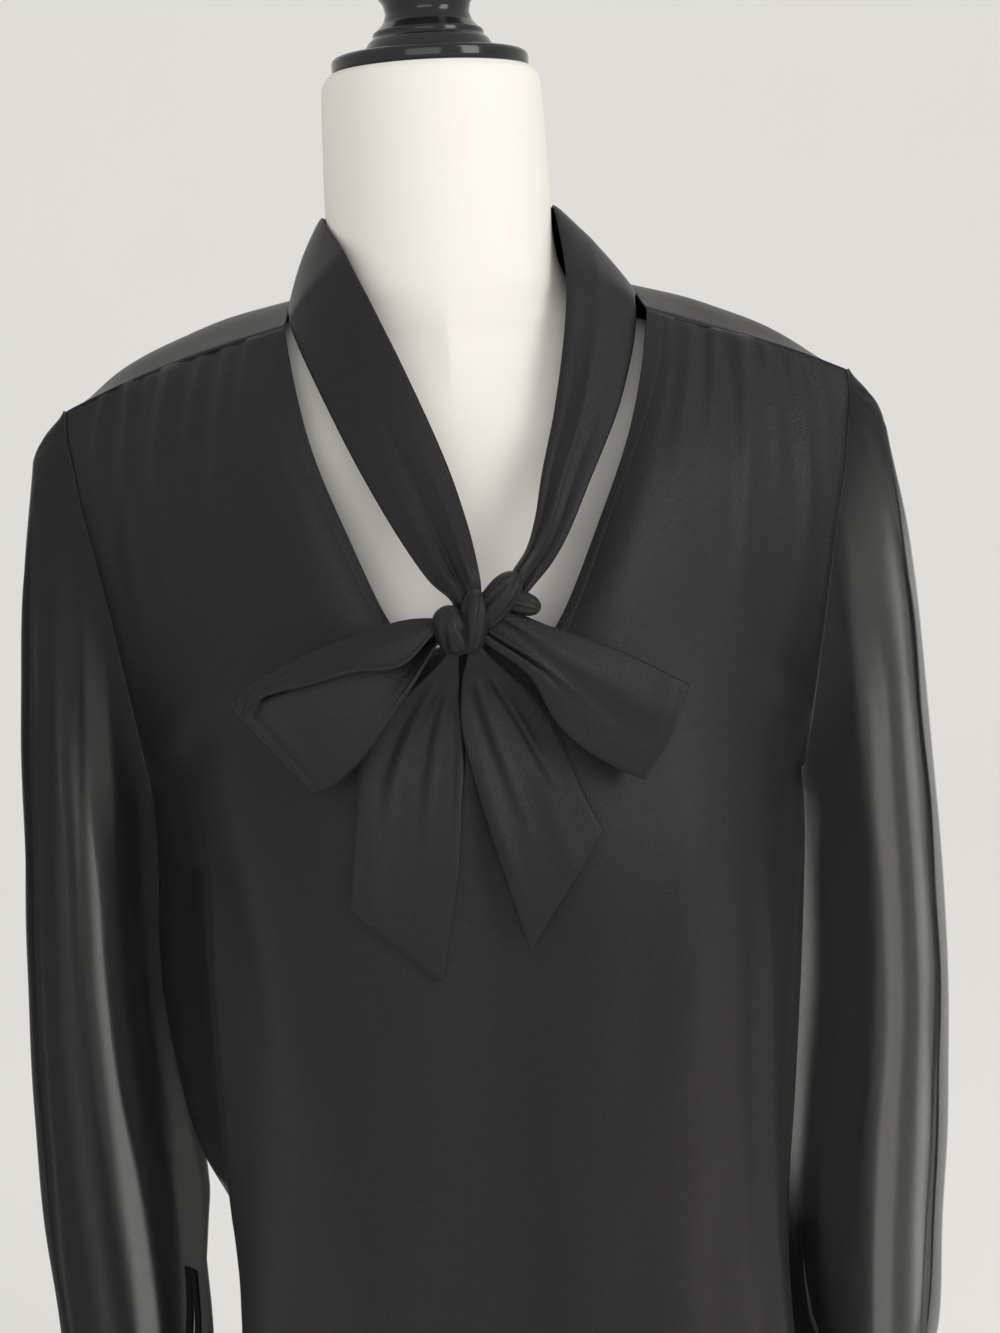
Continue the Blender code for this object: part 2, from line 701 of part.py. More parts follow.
def add_binding(name, side, sleeve, outwards, look):
    """The strip that binds the sleeve's slit, laid on the sleeve beside both edges."""
    last = len(SLEEVE_STOPS) - 1
    surface = new_surface()
    lift = SLEEVE_WALL / 2 + BINDING_GAP + BINDING_WALL / 2

    def laid(near, far):
        start = sleeve["points"][near]
        end = sleeve["points"][far]
        share = min(1.0, BINDING_WIDTH / (end - start).length)
        away = outwards[sleeve["number"][near]].lerp(outwards[sleeve["number"][far]], share)
        return start.lerp(end, share) + away.normalized() * lift

    def laid_edge(near):
        return sleeve["points"][near] + outwards[sleeve["number"][near]] * lift

    for r in range(SLIT_STOP, last + 1):
        open_row = r > SLIT_STOP
        before = ("before", r) if open_row else (SLIT_COLUMN, r)
        after = ("after", r) if open_row else (SLIT_COLUMN, r)
        surface["points"][0, r] = laid(before, (SLIT_COLUMN - 1, r))
        surface["points"][1, r] = laid_edge(before)
        surface["points"][2, r] = laid_edge(after)
        surface["points"][3, r] = laid(after, (SLIT_COLUMN + 1, r))
    # The strip runs on over the top of the slit, where its two sides are one.
    top = sleeve["points"][SLIT_COLUMN, SLIT_STOP]
    above = (sleeve["points"][SLIT_COLUMN, SLIT_STOP - 1] - top).normalized() * BINDING_WIDTH
    for c in range(4):
        surface["points"][c, SLIT_STOP - 1] = surface["points"][c, SLIT_STOP] + above
    for c, r in [(c, r) for c in (0, 2) for r in range(SLIT_STOP - 1, last)]:
        ring = [(c, r), (c + 1, r), (c + 1, r + 1), (c, r + 1)]
        surface["faces"].append(ring if side > 0 else ring[::-1])
    for c in range(4):
        up = (surface["points"][c, last - 1] - surface["points"][c, last]).normalized()
        surface["inset"][c, last] = up * BINDING_RISE
    add_single_wall(name, surface, BINDING_WALL, look)


def cuff_place(side, share, z):
    """A point of the cuff, whose outer end laps over its start at the slit."""
    outer_x, _, inner_x, _, _, depth = SLEEVE[-1]
    start = SLIT_COLUMN / SLEEVE_COLUMNS - CUFF_OVERLAP / 2
    turn = 2 * math.pi * (start + share * (1 + CUFF_OVERLAP))
    step = CUFF_STEP * smooth_step(1 - 3 * CUFF_OVERLAP, 1 - CUFF_OVERLAP, share)
    x = (outer_x + inner_x) / 2 + ((outer_x - inner_x) / 2 + step) * math.cos(turn)
    return Vector((x * side + BLOUSE_SHIFT, -(depth + step) * math.sin(turn), z))


def add_cuff(name, side, look):
    surface = new_surface()
    for k in range(CUFF_COLUMNS + 1):
        for row, z in enumerate((CUFF_BOTTOM, CUFF_TOP)):
            surface["points"][k, row] = cuff_place(side, k / CUFF_COLUMNS, z)
    surface["faces"] = grid_faces(CUFF_COLUMNS, 1, side > 0)
    add_single_wall(name, surface, CUFF_WALL, look)


def add_button(name, side, look):
    middle = (CUFF_TOP + CUFF_BOTTOM) / 2
    share = 1 - CUFF_OVERLAP / 2
    seat = cuff_place(side, share, middle)
    along = cuff_place(side, share + 0.01, middle) - cuff_place(side, share - 0.01, middle)
    away = along.cross(Vector((0, 0, 1))) * -side
    turned = away.to_track_quat("Z", "Y")
    low = CUFF_WALL / 2 + LAID_GAP
    profile = [(radius, low + height) for radius, height in BUTTON_PROFILE]
    places, faces = turned_shape(profile, BUTTON_SIDES)
    moved = [seat + turned @ place for place in places]
    add_object(name, moved, faces, look, sharp_angle=30)


def loop_outline(row, w):
    """A point across a loop's front layer, from its upper edge to its lower edge."""
    stops = [Vector(row[start:start + 3]) for start in (0, 3, 6, 9)]
    for index, (low, high) in enumerate(zip(LOOP_SHARES, LOOP_SHARES[1:])):
        if w <= high:
            return stops[index].lerp(stops[index + 1], (w - low) / (high - low))


def add_loop(name, side, look):
    rows = [Vector(row) for row in LOOPS[side]]
    surface = new_surface()
    flats = []
    for station in range(LOOP_STATIONS + 1):
        flats.append(curve_at(rows, (len(rows) - 1) * station / LOOP_STATIONS))
    for station in range(2 * LOOP_STATIONS + 3):
        for c in range(LOOP_COLUMNS + 1):
            w = c / LOOP_COLUMNS
            if station <= LOOP_STATIONS:
                place = loop_outline(flats[station], w)
            elif station == LOOP_STATIONS + 1:
                place = loop_outline(flats[-1], w) + LOOP_OUTWARD[side] * LOOP_FOLD_REACH
                place.y += LOOP_DEPTH / 2
            else:
                behind = flats[2 * LOOP_STATIONS + 2 - station]
                upper = Vector(behind[0:3])
                lower = Vector(behind[9:12])
                place = upper.lerp(lower, w)
                place.y = max(upper.y, lower.y) + LOOP_DEPTH
            surface["points"][station, c] = place
    surface["faces"] = grid_faces(2 * LOOP_STATIONS + 2, LOOP_COLUMNS, side == "left")
    add_single_wall(name, surface, TIE_WALL, look)


def front_depth(z):
    """How far forward the front panel stands at a height, at its fullest."""
    column = [Vector(row[1]) for row in FRONT]
    for low, high in zip(column, column[1:]):
        if z <= high.z:
            return low.y + (high.y - low.y) * (z - low.z) / (high.z - low.z)
    return column[-1].y


def add_tail(name, side, look):
    rows = [Vector(row) for row in TAILS[side]]
    surface = new_surface()
    for station in range(TAIL_STATIONS + 1):
        t = (len(rows) - 1) * station / TAIL_STATIONS
        left_x, left_z, right_x, right_z, off = curve_at(rows, t)
        left = Vector((left_x, front_depth(left_z) - off, left_z))
        right = Vector((right_x, front_depth(right_z) - off, right_z))
        for c in range(TAIL_COLUMNS + 1):
            w = c / TAIL_COLUMNS
            place = left.lerp(right, w)
            place.y = min(place.y, front_depth(place.z) - off)
            surface["points"][station, c] = place
    surface["faces"] = grid_faces(TAIL_STATIONS, TAIL_COLUMNS, False)
    add_single_wall(name, surface, TIE_WALL, look)


def add_knot(name, look):
    """A rounded fold of the knot, fuller than an ellipsoid towards its ends."""
    centre, half, tilt = KNOTS[name]
    places = [Vector((0, 0, -half[2]))]
    for ring in range(1, KNOT_RINGS):
        rise = -math.cos(math.pi * ring / KNOT_RINGS)
        width = (1 - abs(rise) ** KNOT_FULLNESS) ** 0.5
        for side in range(KNOT_SIDES):
            turn = 2 * math.pi * side / KNOT_SIDES
            x = half[0] * width * math.cos(turn)
            y = half[1] * width * math.sin(turn)
            places.append(Vector((x, y, half[2] * rise)))
    places.append(Vector((0, 0, half[2])))
    top = len(places) - 1
    faces = ring_faces(1, KNOT_RINGS - 1, KNOT_SIDES)
    for side in range(KNOT_SIDES):
        after = (side + 1) % KNOT_SIDES
        faces.append([0, 1 + after, 1 + side])
        faces.append([top, top - KNOT_SIDES + side, top - KNOT_SIDES + after])
    c = math.cos(tilt)
    s = math.sin(tilt)
    moved = [Vector((p.x * c + p.z * s, p.y, p.z * c - p.x * s)) + Vector(centre) for p in places]
    add_object(name, moved, faces, look, sharp_angle=60)


def ring_faces(first, rings, sides):
    """Faces between rings of points that follow one another from the point first."""
    faces = []
    for ring in range(rings - 1):
        low = first + ring * sides
        for side in range(sides):
            after = (side + 1) % sides
            faces.append([low + side, low + after, low + sides + after, low + sides + side])
    return faces


def capped_faces(rings, sides):
    """Faces of a solid built of rings, flat at both ends."""
    faces = [list(range(sides))[::-1]] + ring_faces(0, rings, sides)
    faces.append([(rings - 1) * sides + side for side in range(sides)])
    return faces


def turned_shape(profile, sides):
    """A solid turned about Z, flat at both ends."""
    places = []
    for radius, height in profile:
        for side in range(sides):
            turn = 2 * math.pi * side / sides
            places.append(Vector((radius * math.cos(turn), radius * math.sin(turn), height)))
    return places, capped_faces(len(profile), sides)


def add_turned(name, profile, look):
    places, faces = turned_shape(profile, TURNED_SIDES)
    add_object(name, places, faces, look, sharp_angle=35)


def add_form(name, look):
    places = []
    for z, half_width, front, back, square in FORM:
        for side in range(FORM_SIDES):
            turn = 2 * math.pi * side / FORM_SIDES
            c = math.cos(turn)
            s = math.sin(turn)
            x = half_width * math.copysign(abs(c) ** (2 / square), c)
            y = (back if s > 0 else front) * math.copysign(abs(s) ** (2 / square), s)
            reach = math.hypot(abs(x) - BUST_X, z - BUST_Z) / BUST_SPREAD
            if s < 0 and reach < 1:
                y -= BUST_RISE * (1 - reach * reach) ** 2
            places.append(Vector((x, y, z)))
    add_object(name, places, capped_faces(len(FORM), FORM_SIDES), look)


def build():
    empty_scene()
    cloth = material("satin_backed_crepe", (0.030, 0.028, 0.030), 0.55)
    sheer = material("sheer_chiffon", (0.055, 0.053, 0.055), 0.75)
    white = material("form_covering", (0.78, 0.76, 0.72), 0.60)
    black = material("turned_wood_lacquer", (0.022, 0.022, 0.026), 0.18)
    horn = material("button_resin", (0.03, 0.03, 0.032), 0.30)

    front = front_surface()
    back = back_surface()
    sleeves = {side: sleeve_surface(side, armhole(side, front, back)) for side in (-1, 1)}
    band = band_surface(back)
    outwards = merge_surfaces([front, back, sleeves[-1], sleeves[1], band])
    even_shoulder_seam(front, outwards)

    add_wall("front", front, outwards, BODY_WALL, cloth)
    add_wall("back", back, outwards, BODY_WALL, cloth)
    add_wall("neck_band", band, outwards, TIE_WALL, cloth)
    for side, word in ((-1, "right"), (1, "left")):
        add_wall("sleeve_" + word, sleeves[side], outwards, SLEEVE_WALL, sheer)
        add_binding("slit_binding_" + word, side, sleeves[side], outwards, cloth)
        add_cuff("cuff_" + word, side, cloth)
        add_button("cuff_button_" + word, side, horn)
        add_loop("bow_loop_" + word, word, cloth)
        add_tail("bow_tail_" + word, word, cloth)
    for name in KNOTS:
        add_knot(name, cloth)

    add_form("form_torso", white)
    add_turned("form_neck_cap", CAP_PROFILE, black)
    add_turned("form_pole", POLE_PROFILE, black)
    add_turned("form_base", BASE_PROFILE, black)


build()
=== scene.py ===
"""The looks of a tie neck blouse on a limbless counter-top dress form.

Tables are in millimetres and are turned into metres where a mesh is made. Z is up, the
blouse faces -Y and its wearer's left is +X. Every piece of cloth is a thin shell on the
form of its CAD solid, with the creases of the tables laid on it.
"""

import math

import bmesh
import bpy
import numpy as np
from mathutils import Matrix, Vector


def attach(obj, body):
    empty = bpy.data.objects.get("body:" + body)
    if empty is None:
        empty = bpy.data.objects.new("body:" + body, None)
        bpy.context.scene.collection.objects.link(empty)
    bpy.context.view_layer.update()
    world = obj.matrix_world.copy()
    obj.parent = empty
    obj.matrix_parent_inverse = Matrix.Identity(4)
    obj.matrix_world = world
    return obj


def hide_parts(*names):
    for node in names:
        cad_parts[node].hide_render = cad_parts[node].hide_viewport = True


MM = 0.001

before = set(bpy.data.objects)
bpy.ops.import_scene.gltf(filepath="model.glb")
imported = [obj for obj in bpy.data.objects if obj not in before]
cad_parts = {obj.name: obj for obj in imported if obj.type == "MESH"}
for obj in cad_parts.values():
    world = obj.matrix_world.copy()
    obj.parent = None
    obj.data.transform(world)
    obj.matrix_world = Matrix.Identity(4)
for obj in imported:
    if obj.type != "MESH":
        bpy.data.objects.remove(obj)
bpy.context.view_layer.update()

BLOUSE_SHIFT = 5.5
POINT_OF_V = 7
ARMPIT = 6
BACK_NECK = 10
LAST_ROW = 13
ARMHOLE_ROWS = LAST_ROW - ARMPIT

# Front half panel from the hem up to the shoulder seam. Columns: centre or neckline,
# inner bust, outer bust, front fold, side seam or armhole. Each place is x, y, z.
FRONT = [
    ((0, -127, 240), (52, -131, 240), (101, -120, 240), (147, -84, 240), (158, 4, 240)),
    ((0, -127, 330), (50, -131, 330), (97, -119, 330), (139, -83, 330), (150, 4, 330)),
    ((0, -128, 420), (50, -131, 420), (94, -119, 420), (132, -81, 420), (140, 4, 420)),
    ((0, -130, 480), (50, -133, 480), (94, -120, 480), (131, -80, 480), (149, 4, 480)),
    ((0, -133, 560), (50, -137, 560), (96, -123, 560), (133, -80, 560), (167, 3, 560)),
    ((0, -135, 640), (50, -140, 640), (98, -124, 640), (134, -79, 640), (170, 0, 625)),
    ((0, -133, 680), (51, -136, 680), (99, -118, 680), (138, -76, 676), (169, 0, 660)),
    ((0, -123, 728), (56, -124, 722), (102, -106, 720), (142, -73, 706), (167, -32, 683)),
    ((22, -118, 741), (62, -118, 752), (106, -96, 754), (146, -68, 745), (171.5, -46, 731)),
    ((39, -112, 763), (70, -109, 783), (110, -88, 788), (148, -64, 788), (180, -44, 785)),
    ((57, -94, 802), (82, -91, 820), (115, -76, 824), (151, -57, 822), (187, -37, 818)),
    ((70, -74, 838), (92, -72, 848), (121, -60, 850), (155, -45, 846), (192, -25, 843)),
    ((80, -55, 870), (102, -52, 872), (130, -43, 870), (161, -33, 862), (194, -20, 854)),
    ((87, -33, 900), (112, -30, 893), (140, -26, 885), (167, -22, 876), (194, -16, 865)),
]

# Back half panel, from the same side seam to the centre back and the back neckline. Its
# last rows come forward over the shoulder to the shoulder seam.
BACK = [
    ((158, 4, 240), (134, 80, 240), (76, 120, 240), (0, 126, 240)),
    ((150, 4, 330), (128, 76, 330), (73, 114, 330), (0, 120, 330)),
    ((140, 4, 420), (118, 67, 420), (67, 100, 420), (0, 106, 420)),
    ((149, 4, 480), (120, 63, 480), (65, 94, 480), (0, 99, 480)),
    ((167, 3, 560), (136, 67, 560), (71, 98, 560), (0, 100, 560)),
    ((170, 0, 625), (144, 74, 635), (78, 108, 640), (0, 107, 640)),
    ((169, 0, 660), (144, 78, 675), (78, 110, 690), (0, 109, 695)),
    ((168.5, 32, 682), (144, 82, 706), (77, 112, 735), (0, 110, 745)),
    ((174, 51, 725), (146, 84, 752), (78, 110, 782), (0, 106, 800)),
    ((180, 55, 772), (149, 82, 798), (81, 102, 828), (0, 95, 856)),
    ((187, 52, 808), (154, 74, 834), (88, 86, 868), (0, 76, 904)),
    ((192, 40, 838), (162, 54, 862), (108, 64, 892), (46, 62, 910)),
    ((195, 16, 860), (168, 16, 882), (126, 16, 902), (80, 18, 914)),
    ((194, -16, 865), (160, -23, 878), (122, -29, 890), (87, -33, 900)),
]

# How far the neckline lies from the first column on each side, from the row in the key.
NECK_SHIFT = {
    (-1, 9): 1.5, (-1, 10): 0.6, (-1, 11): 1.5, (-1, 12): -1.0, (-1, 13): -3.5,
    (1, 9): -1.5, (1, 10): 0.4, (1, 11): 4.5, (1, 12): 5.0, (1, 13): 5.0,
}
BACK_NECK_SHIFT = {
    (-1, 11): -1.5, (-1, 12): -3.0, (-1, 13): -3.5,
    (1, 11): 1.5, (1, 12): 4.0, (1, 13): 5.0,
}

# How far the side seam lies out from both tables, which hold it at its narrowest.
SEAM_SHIFT = {
    (-1, 2): 2.0, (-1, 3): 14.0, (-1, 4): 6.0,
    (1, 1): 5.0, (1, 2): 17.0, (1, 3): 13.0, (1, 4): 0.5,
}

# Sleeve sections below the armhole: outer x and z, inner x and z, front y, back y.
SLEEVE = [
    (213, 842, 177, 654, -54, 62),
    (222, 788, 178, 634, -62, 68),
    (229, 716, 176, 604, -64, 68),
    (235, 640, 177, 566, -62, 65),
    (239, 560, 174.5, 520, -60, 62),
    (239, 482, 166, 464, -58, 60),
    (236, 410, 162, 405, -56, 58),
    (233, 356, 162, 356, -54, 56),
    (229, 328, 166, 328, -47, 48),
    (223, 312.35, 169, 312.35, -40, 40),
]
LAST_STOP = len(SLEEVE)
SLEEVE_SPREAD = {-1: 7.0, 1: 0.0}
SPREAD_ROWS = (3, 6, 7.5, 9)
SLIT_TURN = 2 * math.pi * 18 / 28
SLIT_STOPS = (7.35, 8.1, 9, 10)
SLIT_SPREADS = (0, 1, 2, 3)

# The tie on its way from the knot to the shoulder: inner edge x, y, z, outer edge x, y, z.
STRANDS = {
    -1: [
        (5.2, -139.5, 781.6, -8, -140.4, 778.1),
        (4, -118, 797, -22, -119, 792),
        (-3.5, -94, 829, -44.5, -91, 832),
        (-23.5, -72, 881, -63, -61, 871),
        (-41, -50, 920, -73.5, -38, 896),
        (-49, -34, 937, -75.5, -27, 905),
    ],
    1: [
        (19.8, -139, 788.4, 28.5, -139.5, 782.4),
        (31, -112, 801, 43, -116, 795),
        (37.5, -94, 824, 56, -98, 816),
        (48.5, -71, 860, 79, -65, 857),
        (57, -49, 900, 90.5, -39, 889),
        (59, -30, 926, 92.5, -27, 905),
    ],
}

# Where the tie's ends, the loops and the tails run on out of sight inside the knot.
STRAND_TUCK = {-1: (4.0, -139.5, 769, -4.0, -141, 768), 1: (13.5, -140, 777, 19.5, -140.5, 773)}
LOOP_TUCK = {
    "right": (-5, -142, 769, -5, -143, 768, -5, -142.5, 767, -5, -142.5, 765),
    "left": (9, -142, 772, 7, -142.5, 770, 5, -142.5, 768, 2, -142.5, 766),
}
TAIL_TUCK = {"right": (-6.5, 763.5, -1, 764, 27), "left": (-2.5, 763.5, 3, 764, 28)}
STAND_TOP_Z = 951.0
STAND_TOP_RISE_BEHIND = 5.0
STAND_TOP_X = 58.0
STAND_TOP_FRONT = 57.0
STAND_TOP_BACK = 60.5
NECKLINE_HALF_WIDTH = 84.0
NECKLINE_DEPTH = 74.0
BAND_CROWN = 2.0
BAND_FULL_WIDTH = 40.0

# Bow loops on the wearer's sides, from the knot outwards. Columns: x, y, z of the upper
# edge, of the fold that stands forward, of the crease behind it, and of the lower edge.
LOOPS = {
    "right": [
        (-14.4, -143, 770, -14.5, -146, 767, -14.4, -144, 764, -14.0, -145, 761),
        (-29, -143, 770, -31, -152, 753, -31, -145, 757, -28, -148, 741),
        (-51, -143, 765, -52, -153, 751, -52, -146, 756, -45, -150, 718),
        (-72, -144, 758, -74, -152, 746, -74, -147, 750, -58, -150, 705),
        (-92, -145, 749, -92, -150, 742, -92, -147, 743, -66, -149, 699),
        (-105, -146, 740, -102, -147, 734, -100, -147, 731, -71, -148, 697),
    ],
    "left": [
        (18.8, -143, 771.2, 14, -144.5, 768, 9, -144.5, 763.8, 4.6, -144.5, 760),
        (34, -143, 764, 31, -148.5, 757, 28, -147, 751, 24, -147, 744),
        (48, -143, 758.5, 46, -149, 748, 42, -147.5, 739, 34, -148, 724),
        (64, -144, 752, 62, -149, 738, 57, -148, 725, 45, -149, 711),
        (80, -145, 743.5, 76, -149, 728, 71, -148.5, 714, 59, -149, 701),
        (94, -146, 735.5, 89, -148.5, 723, 83, -148.5, 709, 72, -148, 694),
    ],
}
LOOP_OUTWARD = {"right": (-0.85, 0, -0.5), "left": (0.88, 0, -0.47)}
LOOP_SHARES = (0.0, 0.3, 0.45, 1.0)
LOOP_DEPTH = 5.0
LOOP_FOLD_REACH = 2.2

# Tails on the wearer's sides, from the knot down: x and z of the edge towards -X, of the
# edge towards +X, and how far in front of the front panel's depth at that height.
TAILS = {
    "right": [
        (-12.5, 752.5, -6, 753.8, 23.5),
        (-38, 727, -6, 731, 10),
        (-52, 706, -5.5, 706, 4.2),
        (-56, 682, -8, 684, 3.3),
        (-59, 660, -12, 650, 3.3),
        (-61, 641, -21.5, 603, 3.5),
    ],
    "left": [
        (-2, 753.5, 5, 755.6, 25),
        (-5, 740, 15, 744, 16),
        (-6.3, 720, 29, 729, 9.5),
        (-2.5, 697, 38.5, 711, 6.4),
        (5.5, 665, 45.5, 689, 5.6),
        (18.5, 617, 54.5, 670, 5.6),
    ],
}

CUFF_TOP = 311.6
CUFF_BOTTOM = 262.0
CUFF_OVERLAP = 0.07
CUFF_STEP = 2.3
CUFF_WALL = 1.8

# Dress form: height, half width, front, back, and how square the section is.
FORM = [
    (225, 118, 78, 84, 2.3),
    (232, 132, 90, 96, 2.3),
    (246, 139, 96, 103, 2.3),
    (300, 138, 97, 104, 2.3),
    (350, 130, 92, 96, 2.2),
    (400, 118, 86, 86, 2.2),
    (440, 110, 83, 76, 2.2),
    (490, 113, 86, 74, 2.2),
    (550, 126, 96, 80, 2.2),
    (610, 140, 108, 90, 2.2),
    (655, 146, 113, 97, 2.2),
    (700, 149, 106, 101, 2.2),
    (745, 152, 94, 101, 2.2),
    (790, 164, 78, 95, 2.2),
    (820, 176, 69, 88, 2.0),
    (840, 182, 64, 80, 1.8),
    (855, 180, 60, 72, 1.5),
    (868, 168, 56, 67, 1.3),
    (880, 147, 54, 63, 1.2),
    (892, 108, 53, 60, 1.25),
    (904, 75, 53, 58.5, 1.55),
    (918, 61.5, 53, 57.5, 1.9),
    (938, 56.3, 53, 56, 2.0),
    (965, 55.6, 53.5, 55.5, 2.0),
    (1006, 54.1, 53.5, 54.5, 2.0),
    (1015, 52.5, 52, 53, 2.0),
    (1019, 49, 49, 49, 2.0),
]
BUST_X = 70.0
BUST_Z = 652.0
BUST_RISE = 12.8
BUST_SPREAD = 42.0

# Turned profiles: radius and height.
CAP_PROFILE = [
    (46.5, 1019.3), (48.2, 1020.5), (48.2, 1025.0), (46.6, 1026.6), (33.0, 1027.4),
    (31.6, 1030.0), (29.4, 1033.6), (27.2, 1035.0), (27.2, 1037.6), (25.4, 1038.8),
    (22.0, 1042.0), (20.4, 1046.5), (21.4, 1051.0), (24.4, 1055.0), (25.6, 1058.5),
    (24.2, 1061.5), (17.0, 1064.0), (15.4, 1067.0), (19.0, 1072.0), (21.0, 1079.0),
    (19.6, 1086.5), (14.6, 1092.5), (7.0, 1096.2),
]
POLE_PROFILE = [(16.0, 26.3), (16.0, 210.0), (26.0, 211.0), (26.0, 222.0), (24.0, 224.7)]
BASE_PROFILE = [
    (165.0, 0.0), (168.0, 2.5), (168.0, 7.0), (163.0, 11.5), (150.0, 13.5), (110.0, 16.0),
    (60.0, 20.5), (46.0, 22.0), (44.0, 26.0),
]

# Folds of the front. Columns: crest (1 sharp, 2 soft), half width, height, share of the
# height that a valley beside it has, shares of the length over which it rises and falls,
# then x and z of points along it.
FRONT_FOLDS = [
    # Gathers under the wearer's right shoulder.
    (2, 3.0, 0.9, 0.6, 0.05, 0.8, -167, 874, -173, 846, -174, 812, -170, 784),
    (2, 4.2, 1.3, 0.7, 0.05, 0.7, -153, 879, -157, 847, -157, 796, -151, 744),
    (2, 3.2, 1.0, 0.6, 0.05, 0.8, -143, 883, -148, 858, -150, 824, -148, 796),
    (2, 4.6, 1.4, 0.7, 0.05, 0.7, -133, 886, -141, 852, -142, 800, -136, 748),
    (2, 3.4, 0.9, 0.6, 0.05, 0.8, -117, 890, -124, 862, -127, 830, -125, 802),
    (2, 4.4, 1.1, 0.7, 0.05, 0.7, -104, 894, -110, 862, -112, 816, -108, 772),
    (2, 3.2, 0.7, 0.6, 0.05, 0.8, -93, 897, -98, 878, -101, 850, -101, 828),
    # Gathers under the wearer's left shoulder.
    (2, 3.0, 0.9, 0.6, 0.05, 0.8, 107, 898, 105, 880, 99, 856, 92, 836),
    (2, 4.0, 0.9, 0.7, 0.05, 0.8, 119, 894, 113, 868, 104, 832, 96, 790),
    (2, 2.8, 0.8, 0.6, 0.05, 0.8, 131, 891, 127, 868, 120, 838, 114, 806),
    (2, 4.2, 1.2, 0.7, 0.05, 0.8, 143, 887, 141, 856, 136, 806, 126, 742),
    (2, 2.8, 0.8, 0.6, 0.05, 0.8, 155, 882, 156, 856, 155, 824, 151, 790),
    (2, 4.0, 1.1, 0.7, 0.05, 0.8, 168, 876, 171, 846, 170, 800, 164, 752),
    (2, 2.6, 0.7, 0.6, 0.05, 0.8, 181, 872, 184, 854, 184, 834, 182, 812),
    # Long soft drapes between the shoulders and the hem.
    (2, 12, 2.6, 0.5, 0.5, 0.5, -118, 780, -112, 690, -96, 590, -92, 470),
    (2, 14, 2.4, 0.5, 0.5, 0.5, 118, 790, 104, 690, 92, 560, 96, 440),
    (2, 16, 2.2, 0.5, 0.4, 0.2, -58, 560, -64, 430, -70, 330, -76, 236),
    (2, 15, 2.6, 0.5, 0.4, 0.2, 30, 590, 34, 450, 30, 340, 24, 236),
    (2, 13, 2.0, 0.4, 0.4, 0.2, 84, 520, 90, 400, 98, 310, 102, 236),
    (2, 12, 1.8, 0.4, 0.4, 0.2, -16, 480, -20, 380, -26, 300, -30, 236),
    (2, 10, 1.8, 0.4, 0.4, 0.2, -112, 470, -118, 380, -124, 300, -126, 236),
    # Drags from the bust to the side.
    (2, 7, 1.8, 0.6, 0.2, 0.6, -160, 676, -148, 700, -132, 722, -110, 742),
    (2, 7, 1.6, 0.6, 0.2, 0.6, 172, 684, 160, 706, 146, 726, 126, 742),
    (2, 5, 1.2, 0.5, 0.3, 0.5, -150, 640, -136, 652, -120, 660, -102, 664),
]

# The long fold beside each bust, where the panel turns back to the side seam.
RIDGES = [
    (1.2, 5.0, 3.6, 0.7, 0.2, 0.1,
     -142, 696, -130, 672, -129, 600, -131, 500, -131, 400, -139, 236),
    (1.2, 5.0, 3.4, 0.7, 0.2, 0.1,
     134, 676, 138, 640, 138, 560, 136, 470, 136, 400, 146, 236),
]

# Stitched darts from the side seam towards the bust.
DARTS = [
    (1.0, 1.2, -1.0, -0.5, 0.05, 0.3, -168, 616, -150, 634, -128, 646),
    (1.0, 1.2, -1.0, -0.5, 0.05, 0.3, 171, 620, 156, 640, 139, 652),
]

# Folds of the back, in the same columns.
BACK_FOLDS = [
    (2, 15, 2.6, 0.5, 0.4, 0.1, -22, 700, -28, 560, -34, 400, -40, 236),
    (2, 12, 2.2, 0.5, 0.4, 0.1, 26, 640, 30, 500, 40, 370, 46, 236),
    (2, 13, 2.4, 0.5, 0.4, 0.1, 84, 660, 78, 520, 84, 380, 92, 236),
    (2, 11, 2.0, 0.5, 0.4, 0.1, -82, 620, -78, 500, -86, 370, -96, 236),
    (2, 9, 1.6, 0.5, 0.4, 0.3, -116, 560, -108, 470, -112, 370, -120, 300),
    (2, 9, 1.8, 0.5, 0.3, 0.5, 134, 780, 112, 740, 96, 690, 90, 640),
    (2, 9, 1.5, 0.5, 0.3, 0.5, -122, 772, -100, 728, -84, 676, -78, 616),
    (2, 8, 1.5, 0.5, 0.3, 0.5, 60, 830, 48, 780, 44, 720, 46, 650),
    (2, 8, 1.2, 0.5, 0.3, 0.5, -40, 836, -34, 790, -34, 740, -38, 690),
]

